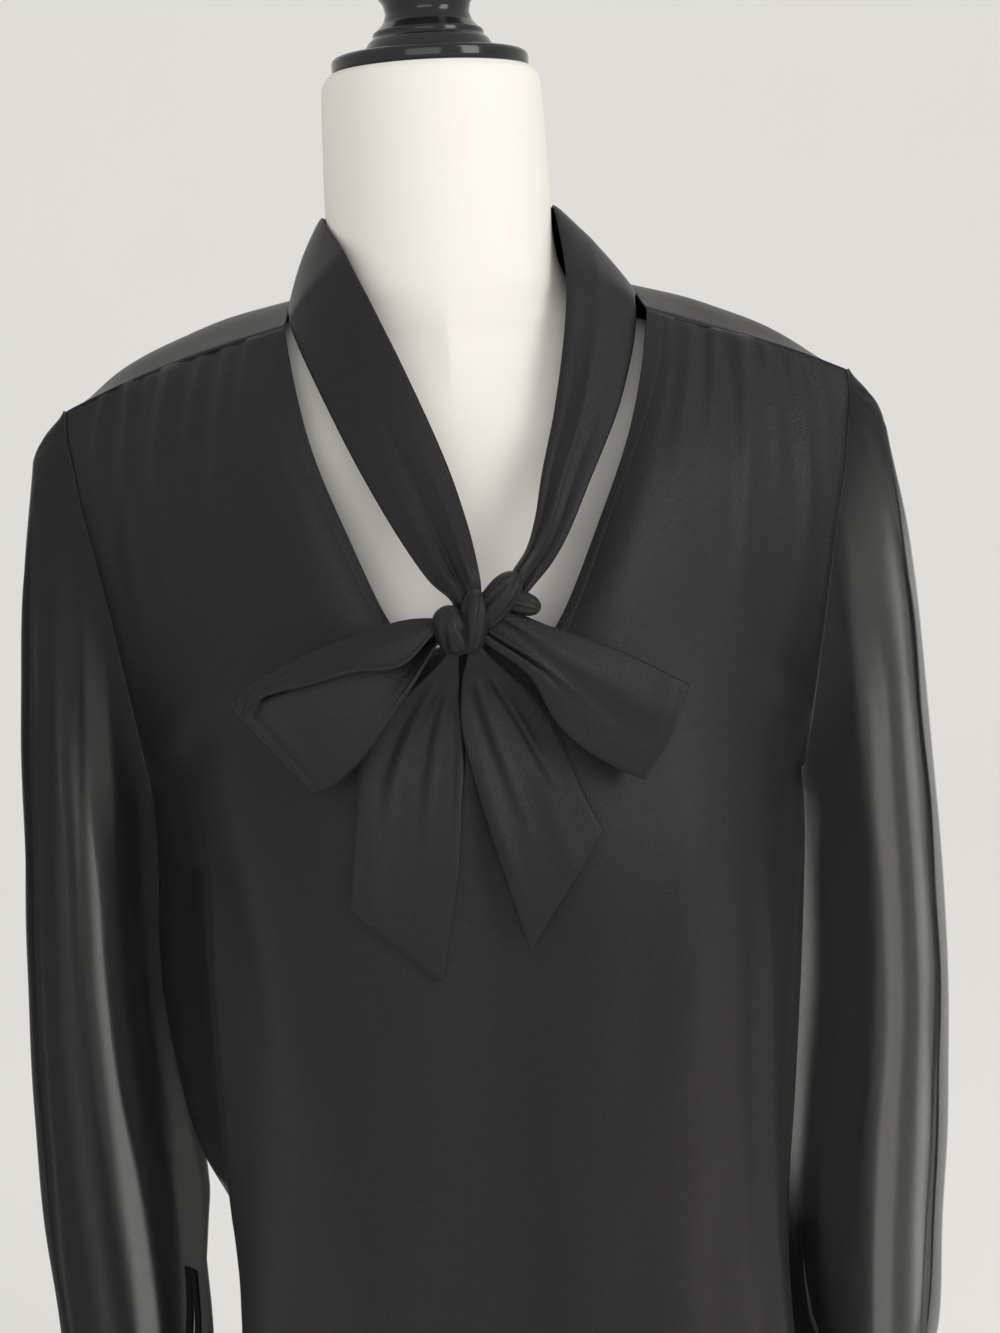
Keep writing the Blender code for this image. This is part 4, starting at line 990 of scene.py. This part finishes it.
def add_button(side, word, look, thread):
    """A dished button with four holes and crossed thread, laid on the cuff's lap."""
    middle = (CUFF_TOP + CUFF_BOTTOM) / 2
    share = 1 - CUFF_OVERLAP / 2
    seat = cuff_place(side, np.array([share]), middle)[0]
    before, after = (cuff_place(side, np.array([share + d]), middle)[0] for d in (-0.01, 0.01))
    out = Vector(np.cross(after - before, (0, 0, 1)) * -side)
    turned = np.array(out.to_track_quat("Z", "Y").to_matrix())
    lift = CUFF_WALL / 2 + BUTTON_STANDS

    def moved(places):
        return (places + (0, 0, lift)) @ turned.T + seat

    places, faces = turned_mesh(BUTTON_PROFILE, 40)
    made = mesh_object("button_" + word, moved(places), faces, look)
    weld(made)
    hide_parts("cuff_button_" + word)
    spots = [np.array((a * HOLE_REACH, b * HOLE_REACH, DISH_Z)) for a, b in HOLE_SIGNS]
    lines = []
    for start, end in (spots[::2], spots[1::2]) * 2:
        over = (start + end) / 2 + (0.12 * len(lines) - 0.2, 0.1, 0.4)
        lines.append(moved(np.array([start, over, end])))
    sewn = add_stitches("button_thread_" + word, lines, thread, length=3.0, gap=0.05, radius=0.28)
    return made, sewn


def stand_top(base):
    """The top edge of the tie where it stands round the form's neck, above a neckline point."""
    depth = STAND_TOP_BACK if base[1] > 0 else STAND_TOP_FRONT
    turn = math.atan2(base[1] / NECKLINE_DEPTH, base[0] / NECKLINE_HALF_WIDTH)
    rise = STAND_TOP_RISE_BEHIND * max(0.0, math.sin(turn))
    return np.array((STAND_TOP_X * math.cos(turn), depth * math.sin(turn), STAND_TOP_Z + rise))


# Lengthwise pleats of the tie's two ends where the knot gathers them: place across from 0
# to 1, half width, depth in millimetres and how far along they reach.
STRAND_PLEATS = {
    -1: [
        (0.22, 0.07, 2.6, 70), (0.48, 0.08, -2.4, 95), (0.72, 0.07, 2.2, 60), (0.9, 0.05, -1.6, 40),
    ],
    1: [
        (0.18, 0.07, -2.2, 90), (0.42, 0.09, 2.6, 150), (0.68, 0.07, -2.0, 75), (0.88, 0.06, 1.8, 50),
    ],
}
PLEAT_FULL_WIDTH = 22
BAND_EDGE_SINK = 0.7
BAND_UNEVEN = 0.3
BAND_WALL = 1.1


def between(low, high, ws):
    """Places across from each low place to its high one."""
    return low[:, None] * (1 - ws)[:, None] + high[:, None] * ws[:, None]


def two_edges(ws, steepness):
    """One at both edges of a width and nothing between them."""
    return np.exp(-ws * steepness) + np.exp(-(1 - ws) * steepness)


def add_band(look):
    """The tie from the knot round the neck and back, sewn on along the back neckline."""
    pairs = []
    for side in (-1, 1):
        ends = np.array(STRANDS[side], float)
        strand = spline(ends, np.linspace(0, len(ends) - 1, 8))
        strand = np.vstack([[STRAND_TUCK[side]], strand]).reshape(-1, 2, 3)
        rows = np.arange(12.5, BACK_NECK - 0.01, -0.5)
        bases = back_grid(side, np.array([1.0]), rows)[:, 0]
        neck = np.array([(stand_top(base), base) for base in bases])
        half = np.concatenate([strand, neck])
        pairs = half if side < 0 else np.concatenate([pairs[:-1], half[::-1]])
    marks = np.linspace(0, len(pairs) - 1, 300)
    fine = spline(pairs.reshape(-1, 6), marks).reshape(-1, 2, 3)
    inner = fine[:, 0]
    outer = fine[:, 1]
    along = np.gradient(inner + outer, axis=0)
    away = np.cross(along, outer - inner)
    away /= np.linalg.norm(away, axis=1, keepdims=True)
    ws = np.linspace(0, 1, 40)
    width = np.linalg.norm(outer - inner, axis=1)
    grid = between(inner, outer, ws)
    raised = BAND_CROWN * np.sin(math.pi * ws) * np.minimum(1, width / BAND_FULL_WIDTH)[:, None]
    run = arc_lengths((inner + outer) / 2)
    for side, distance in ((-1, run), (1, run[-1] - run)):
        for centre, half, depth, reach in STRAND_PLEATS[side]:
            fade = bell(distance, reach) * np.minimum(1, width / PLEAT_FULL_WIDTH)
            raised = raised + depth * fade[:, None] * bell(ws - centre, half)
    raised = raised - BAND_EDGE_SINK * two_edges(ws, 30) + uneven(grid, BAND_UNEVEN)
    grid = grid + away[:, None] * raised[..., None]
    return add_shell("neck_band_cloth", "neck_band", grid, look, BAND_WALL)


def loop_across(row, ws):
    """Places across a loop's front layer, from its upper edge to its lower edge."""
    at = np.interp(ws, LOOP_SHARES, (0, 1, 2, 3))
    return spline(row.reshape(4, 3), at)


# Soft shapes on each loop's front. Columns: along from knot 0 to tip 1, across from the
# upper edge 0 to the lower edge 1, half length, half width, height in millimetres.
LOOP_SHAPES = {
    "right": [
        (0.62, 0.72, 0.26, 0.2, 1.8), (0.22, 0.66, 0.16, 0.2, -2.6), (0.42, 0.9, 0.2, 0.08, 1.4),
        (0.9, 0.55, 0.06, 0.3, 0.9), (0.96, 0.5, 0.02, 0.5, -0.5), (0.3, 0.1, 0.3, 0.09, 1.2),
        (0.55, 0.47, 0.4, 0.04, -3.2), (0.5, 0.32, 0.4, 0.05, 1.4), (0.24, 0.6, 0.16, 0.12, -2.0),
        (0.4, 0.96, 0.4, 0.035, 1.8),
    ],
    "left": [
        (0.55, 0.6, 0.25, 0.25, 1.4), (0.2, 0.35, 0.16, 0.08, -2.2), (0.22, 0.62, 0.2, 0.07, -2.0),
        (0.3, 0.48, 0.22, 0.06, 1.6), (0.93, 0.5, 0.05, 0.5, 0.7), (0.97, 0.5, 0.02, 0.5, -0.4),
    ],
}


LIP_WIDTH = 0.05
LIP_DEPTH = 0.9
LOOP_WALL = 0.9


def add_loop(word, look):
    rows = np.array([LOOP_TUCK[word]] + LOOPS[word], float)
    along = np.linspace(0, 1, 70)
    flats = spline(rows, along * (len(rows) - 1))
    ws = np.linspace(0, 1, 48)
    front = np.stack([loop_across(flat, ws) for flat in flats])
    for a, b, reach, width, high in LOOP_SHAPES[word]:
        bump = bell(along - a, reach)[:, None] * bell(ws - b, width)
        front[..., 1] -= high * bump * smooth_step(0, 0.12, along)[:, None]
    lip = np.exp((ws - 1) / LIP_WIDTH) + 0.6 * np.exp(-ws / LIP_WIDTH)
    front[..., 1] += LIP_DEPTH * lip * smooth_step(0, 0.2, along)[:, None]
    back = between(flats[:, :3], flats[:, 9:], ws)
    back[..., 1] = np.maximum(flats[:, 1], flats[:, 10])[:, None] + LOOP_DEPTH
    fold = []
    for turn in np.linspace(0, math.pi, 14)[1:-1]:
        share = (1 - math.cos(turn)) / 2
        ring = front[-1] * (1 - share) + back[-1] * share
        fold.append(ring + np.array(LOOP_OUTWARD[word]) * LOOP_FOLD_REACH * math.sin(turn))
    grid = np.concatenate([front, np.array(fold), back[::-1]])
    name = "bow_loop_cloth_" + word
    return add_shell(name, "bow_loop_" + word, grid, look, LOOP_WALL, word == "right")


# Folds of each tail, in the columns of the front's.
TAIL_FOLDS = {
    "right": [
        (2, 3.0, 1.4, 0.5, 0.1, 0.7, -14, 744, -30, 716, -40, 690, -44, 650),
        (2, 2.6, 1.2, 0.5, 0.1, 0.7, -9, 742, -18, 712, -24, 680, -27, 650),
        (2, 5.0, 0.9, 0.3, 0.3, 0.3, -50, 700, -48, 670, -50, 640, -46, 626),
        (1.4, 1.6, 0.8, 0.4, 0.2, 0.5, -7, 738, -7, 710, -9, 690, -12, 660),
    ],
    "left": [
        (2, 2.6, 1.6, 0.6, 0.1, 0.7, 1, 744, 8, 716, 16, 690, 26, 655),
        (1.4, 1.8, 1.5, 0.7, 0.1, 0.5, 6, 746, 18, 724, 30, 700, 40, 680),
        (2, 3.0, 0.9, 0.4, 0.2, 0.4, -1, 712, 4, 690, 12, 660, 20, 632),
        (2, 5.0, 0.8, 0.3, 0.3, 0.3, 26, 700, 34, 676, 40, 654, 44, 640),
    ],
}


TAIL_UNEVEN = 0.3
TAIL_EDGE_SINK = 0.6
TAIL_WALL = 1.0


def front_depth(z):
    """How far forward the front panel stands at a height, at its fullest."""
    column = np.array([row[1] for row in FRONT], float)
    column = spline(column, np.linspace(0, LAST_ROW, 200))
    return np.interp(z, column[:, 2], column[:, 1])


def add_tail(word, look):
    rows = np.array([TAIL_TUCK[word]] + TAILS[word], float)
    along = np.linspace(0, 1, 90)
    left_x, left_z, right_x, right_z, off = spline(rows, along * (len(rows) - 1)).T
    ws = np.linspace(0, 1, 44)
    x = left_x[:, None] * (1 - ws) + right_x[:, None] * ws
    z = left_z[:, None] * (1 - ws) + right_z[:, None] * ws
    grid = np.stack([x, front_depth(z) - off[:, None], z], -1)
    raised = fold_height(grid[..., 0], grid[..., 2], TAIL_FOLDS[word]) + uneven(grid, TAIL_UNEVEN)
    raised -= TAIL_EDGE_SINK * two_edges(ws, 34) * smooth_step(0.1, 0.3, along)[:, None]
    raised -= TAIL_EDGE_SINK * np.exp(-(1 - along) * 60)[:, None]
    grid[..., 1] -= raised * smooth_step(0, 0.1, along)[:, None]
    return add_shell("bow_tail_cloth_" + word, "bow_tail_" + word, grid, look, TAIL_WALL)


# Wraps of the knot: CAD node, centre, half sizes, tilt about Y in degrees, then creases
# as turn in degrees, half width in degrees, depth and how far it leans from end to end.
WRAPS = {
    "knot_wrap_right": (
        "bow_knot_wrap", (-8.0, -144.4, 765.0), (8.4, 9.0, 11.6), -20,
        [(-122, 16, 1.3, 30), (-60, 12, 1.0, -20), (-92, 10, 0.6, 10)],
    ),
    "knot_wrap_left": (
        "bow_knot_wrap", (1.2, -145.4, 768.4), (6.6, 9.0, 14.6), 8,
        [(-130, 14, 1.0, -24), (-78, 11, 1.1, 18)],
    ),
    "knot_fold_left": (
        "bow_knot_cross", (22.5, -141.8, 775.4), (5.2, 5.6, 9.4), 112,
        [(-110, 14, 0.9, 10), (-70, 12, 0.8, -12)],
    ),
    "knot_cross": (
        "bow_knot_cross", (12.4, -143.2, 777.2), (7.4, 8.4, 14.8), 40,
        [(-120, 13, 1.2, 20), (-78, 11, 1.1, -14), (-45, 10, 0.9, 12)],
    ),
}


def add_wrap(name, look):
    node, centre, half, tilt, creases = WRAPS[name]
    rises = -np.cos(np.linspace(0.02, math.pi - 0.02, 44))
    turns = np.linspace(0, 2 * math.pi, 72, endpoint=False)
    width = (1 - np.abs(rises) ** 2.6) ** 0.5
    x = half[0] * width[:, None] * np.cos(turns)
    y = half[1] * width[:, None] * np.sin(turns)
    z = (half[2] * rises)[:, None] + 0 * x
    sink = np.zeros_like(x)
    for turn, half_turn, depth, lean in creases:
        at = np.radians(turn + lean * rises)[:, None]
        sink += depth * bell(turn_apart(turns[None, :], at), math.radians(half_turn))
    reach = np.maximum(np.hypot(x, y), 1e-6)
    x = x - x / reach * sink * width[:, None]
    y = y - y / reach * sink * width[:, None]
    c = math.cos(math.radians(tilt))
    s = math.sin(math.radians(tilt))
    places = np.stack([x * c + z * s, y, z * c - x * s], -1) + np.array(centre)
    made = grid_object(name, places, look, wrap=True)
    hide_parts(node)
    return made


def add_form(look):
    rows = np.array(FORM, float)
    marks = np.linspace(0, len(rows) - 1, 170)
    heights, halves, fronts, backs, squares = spline(rows, marks).T
    turns = np.linspace(0, 2 * math.pi, 128, endpoint=False)
    c = np.cos(turns)[None, :]
    s = np.sin(turns)[None, :]
    power = (2 / squares)[:, None]
    x = halves[:, None] * np.sign(c) * np.abs(c) ** power
    y = np.where(s > 0, backs[:, None], fronts[:, None]) * np.sign(s) * np.abs(s) ** power
    z = heights[:, None] + 0 * x
    reach = np.minimum(1, np.hypot(np.abs(x) - BUST_X, z - BUST_Z) / BUST_SPREAD)
    y = y - np.where(s < 0, BUST_RISE * (1 - reach**2) ** 2, 0)
    grid = np.stack([x, y, z], -1)
    sides = len(turns)
    last = (len(marks) - 1) * sides
    faces = [*quads(*grid.shape[:2], wrap=True), range(sides)[::-1], range(last, last + sides)]
    made = mesh_object("form_covering_shell", grid.reshape(-1, 3), faces, look)
    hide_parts("form_torso")
    return made


def add_turned(name, node, profile, look, soften):
    """A turned piece: each step of its profile is rounded a little."""
    points = []
    profile = [(0.0, profile[0][1])] + list(profile) + [(0.0, profile[-1][1])]
    for before, here, after in zip(profile, profile[1:], profile[2:]):
        here = np.array(here)
        back = np.array(before) - here
        on = np.array(after) - here
        back *= min(0.45, soften / max(np.linalg.norm(back), 1e-6))
        on *= min(0.45, soften / max(np.linalg.norm(on), 1e-6))
        for t in (0, 0.25, 0.5, 0.75, 1):
            points.append(here + back * (1 - t) ** 2 + on * t**2)
    points = [(0.0, profile[0][1])] + [tuple(p) for p in points] + [(0.0, profile[-1][1])]
    places, faces = turned_mesh(points, 112)
    made = mesh_object(name, places, faces, look)
    weld(made, 0.001)
    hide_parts(node)
    return made


# Looks: values of the shader, scale and detail of a fine noise, depth in metres and
# strength of the bump that it makes, and the colours that it runs between.
LOOKS = {
    "satin_crepe": (
        {
            "Base Color": (0.009, 0.008, 0.0086, 1), "Roughness": 0.36,
            "Specular IOR Level": 0.24, "Sheen Weight": 0.03, "Sheen Roughness": 0.45,
        },
        (1500.0, 2.0), (0.00035, 1.0), ((0.001, 0.0008, 0.001, 1), (0.018, 0.016, 0.0172, 1)),
    ),
    "sheer_chiffon": (
        {
            "Base Color": (0.012, 0.0115, 0.012, 1), "Roughness": 0.85,
            "Specular IOR Level": 0.12, "Sheen Weight": 0.05,
        },
        (1700.0, 1.0), (0.00010, 0.5), None,
    ),
    "form_jersey": (
        {"Base Color": (0.76, 0.74, 0.69, 1), "Roughness": 0.62},
        (900.0, 2.0), (0.00012, 0.35), None,
    ),
    "black_lacquer": (
        {
            "Base Color": (0.008, 0.008, 0.010, 1), "Roughness": 0.16,
            "Specular IOR Level": 0.30, "Coat Weight": 0.25, "Coat Roughness": 0.05,
        },
        (260.0, 3.0), (0.00003, 0.4), ((0.006, 0.006, 0.008, 1), (0.012, 0.012, 0.014, 1)),
    ),
    "button_resin": (
        {"Base Color": (0.018, 0.017, 0.019, 1), "Roughness": 0.22},
        (700.0, 2.0), None, ((0.014, 0.013, 0.015, 1), (0.026, 0.025, 0.027, 1)),
    ),
    "sewing_thread": (
        {"Base Color": (0.02, 0.019, 0.02, 1), "Roughness": 0.55},
        (2600.0, 1.0), None, ((0.016, 0.015, 0.016, 1), (0.034, 0.032, 0.034, 1)),
    ),
    "painted_wall": (
        {
            "Base Color": (0.74, 0.73, 0.69, 1), "Roughness": 0.9,
            "Emission Color": (1.0, 0.99, 0.96, 1), "Emission Strength": 0.20,
        },
        (1.1, 2.0), None, ((0.66, 0.655, 0.63, 1), (0.70, 0.69, 0.67, 1)),
    ),
}
CHIFFON_DENSE = 0.80
CHIFFON_CLEAR = 0.18
CHIFFON_SPECKLE = 0.09
JERSEY_CLOUDS = (9.0, 2.0)
JERSEY_COLOURS = ((0.74, 0.715, 0.66, 1), (0.78, 0.76, 0.71, 1))


def add_node(tree, kind, **values):
    """A node with the values of its sockets, whose names have _ for each space."""
    made = tree.nodes.new("ShaderNode" + kind)
    for socket, value in values.items():
        made.inputs[socket.replace("_", " ")].default_value = value
    return made


def link_noise(tree, scale, detail):
    """A noise texture in the object's own metres."""
    place = add_node(tree, "TexCoord")
    noise = add_node(tree, "TexNoise", Scale=scale, Detail=detail)
    tree.links.new(place.outputs["Object"], noise.inputs["Vector"])
    return noise.outputs["Fac"]


def link_mix(tree, shader, factor, low, high):
    """Let the colour run from low to high with a factor."""
    mix = add_node(tree, "Mix")
    mix.data_type = "RGBA"
    mix.inputs["A"].default_value = low
    mix.inputs["B"].default_value = high
    tree.links.new(factor, mix.inputs["Factor"])
    tree.links.new(mix.outputs["Result"], shader.inputs["Base Color"])


def make_look(name):
    values, fineness, bumps, colours = LOOKS[name]
    look = bpy.data.materials.new(name)
    look.use_nodes = True
    tree = look.node_tree
    shader = tree.nodes["Principled BSDF"]
    for socket, value in values.items():
        shader.inputs[socket].default_value = value
    noise = link_noise(tree, *fineness)
    if bumps:
        bump = add_node(tree, "Bump", Distance=bumps[0], Strength=bumps[1])
        tree.links.new(noise, bump.inputs["Height"])
        tree.links.new(bump.outputs["Normal"], shader.inputs["Normal"])
    if colours:
        link_mix(tree, shader, noise, *colours)
    return look, tree, shader, noise


def chiffon_look():
    """Sheer cloth, denser where a sleeve's clearness is low and where its grain is high."""
    look, tree, shader, grain = make_look("sheer_chiffon")
    clear = add_node(tree, "Attribute")
    clear.attribute_name = "clearness"
    opacity = add_node(tree, "MapRange", To_Min=CHIFFON_DENSE, To_Max=CHIFFON_CLEAR)
    tree.links.new(clear.outputs["Fac"], opacity.inputs["Value"])
    speckle = add_node(tree, "Math")
    speckle.operation = "MULTIPLY_ADD"
    speckle.inputs[1].default_value = CHIFFON_SPECKLE
    tree.links.new(grain, speckle.inputs[0])
    tree.links.new(opacity.outputs["Result"], speckle.inputs[2])
    tree.links.new(speckle.outputs["Value"], shader.inputs["Alpha"])
    return look


def jersey_look():
    look, tree, shader, _ = make_look("form_jersey")
    link_mix(tree, shader, link_noise(tree, *JERSEY_CLOUDS), *JERSEY_COLOURS)
    return look


WALL_Y = 4.4
SWEEP = 2.2
STAGE_HALF = 7.0
STAGE_Z = -0.0005


def add_stage(look):
    """A pale counter that turns up into a wall behind the form."""
    line = [(-STAGE_HALF, STAGE_Z)]
    for turn in np.linspace(0, math.pi / 2, 16):
        y = WALL_Y - SWEEP * (1 - math.sin(turn))
        line.append((y, STAGE_Z + SWEEP * (1 - math.cos(turn))))
    line.append((WALL_Y, STAGE_HALF))
    places = [(x, y, z) for y, z in line for x in (-STAGE_HALF, STAGE_HALF)]
    faces = [(2 * n, 2 * n + 1, 2 * n + 3, 2 * n + 2) for n in range(len(line) - 1)]
    mesh = bpy.data.meshes.new("backdrop")
    mesh.from_pydata(places, [], faces)
    mesh.shade_smooth()
    mesh.materials.append(look)
    made = bpy.data.objects.new("backdrop", mesh)
    bpy.context.scene.collection.objects.link(made)


# Lamps: place, what each is aimed at, size, power and colour.
LAMPS = {
    "window": ((1.9, -1.8, 1.7), (0.0, 0.0, 0.75), (1.0, 2.2), 36.0, (1.0, 0.985, 0.965)),
    "room": ((-0.25, -1.7, 1.15), (0.0, -0.1, 0.8), (1.2, 0.9), 5.5, (0.97, 0.98, 1.0)),
}
AIR_COLOUR = (1.0, 0.995, 0.975, 1)
AIR_STRENGTH = 0.70


def add_lights():
    for name, (place, aim, size, power, colour) in LAMPS.items():
        lamp = bpy.data.lights.new(name, "AREA")
        lamp.shape = "RECTANGLE"
        lamp.size, lamp.size_y = size
        lamp.energy = power
        lamp.color = colour
        made = bpy.data.objects.new(name, lamp)
        made.location = place
        made.rotation_mode = "QUATERNION"
        made.rotation_quaternion = (Vector(aim) - Vector(place)).to_track_quat("-Z", "Y")
        bpy.context.scene.collection.objects.link(made)
    world = bpy.data.worlds.new("room_air")
    bpy.context.scene.world = world
    world.use_nodes = True
    air = world.node_tree.nodes["Background"]
    air.inputs["Color"].default_value = AIR_COLOUR
    air.inputs["Strength"].default_value = AIR_STRENGTH


CAMERA_PLACE = (-0.02905, -0.9894, 0.897)
CAMERA_HEADING = 2.77
CAMERA_PITCH = -10.0
CAMERA_ROLL = 3.0
CAMERA_LENS = 52.66
CAMERA_SENSOR = 36.0
CAMERA_NEAR = 0.05


def add_camera():
    h, p, r = (math.radians(v) for v in (CAMERA_HEADING, CAMERA_PITCH, CAMERA_ROLL))
    ahead = Vector((math.sin(h) * math.cos(p), math.cos(h) * math.cos(p), math.sin(p)))
    right = Vector((math.cos(h), -math.sin(h), 0))
    up = right.cross(ahead)
    x = right * math.cos(r) - up * math.sin(r)
    y = right * math.sin(r) + up * math.cos(r)
    camera = bpy.data.cameras.new("camera")
    camera.lens = CAMERA_LENS
    camera.sensor_width = CAMERA_SENSOR
    camera.clip_start = CAMERA_NEAR
    made = bpy.data.objects.new("camera", camera)
    turned = Matrix((x, y, -ahead)).transposed()
    made.matrix_world = Matrix.Translation(CAMERA_PLACE) @ turned.to_4x4()
    bpy.context.scene.collection.objects.link(made)
    bpy.context.scene.camera = made
    bpy.context.scene.view_settings.view_transform = "Standard"


def build():
    plain = ("satin_crepe", "sewing_thread", "button_resin", "black_lacquer", "painted_wall")
    crepe, thread, resin, lacquer, wall = (make_look(name)[0] for name in plain)
    chiffon = chiffon_look()

    front, front_sewn = add_front(crepe, thread)
    back, back_sewn = add_back(crepe, thread)
    for side, word in ((-1, "right"), (1, "left")):
        sleeve, grid, away = add_sleeve(side, word, chiffon)
        binding = add_binding(side, word, grid, away, crepe)
        cuff, cuff_sewn = add_cuff(side, word, crepe, thread)
        button, sewn = add_button(side, word, resin, thread)
        loop = add_loop(word, crepe)
        tail = add_tail(word, crepe)
    band = add_band(crepe)
    for made in (front, back, band, *[add_wrap(name, crepe) for name in WRAPS]):
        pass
    add_form(jersey_look())
    for name, node, shape, soften in (
        ("neck_cap_turning", "form_neck_cap", CAP_PROFILE, 1.2),
        ("pole_turning", "form_pole", POLE_PROFILE, 1.2),
        ("base_turning", "form_base", BASE_PROFILE, 1.5),
    ):
        add_turned(name, node, shape, lacquer, soften)
    add_stage(wall)
    add_lights()
    add_camera()


build()
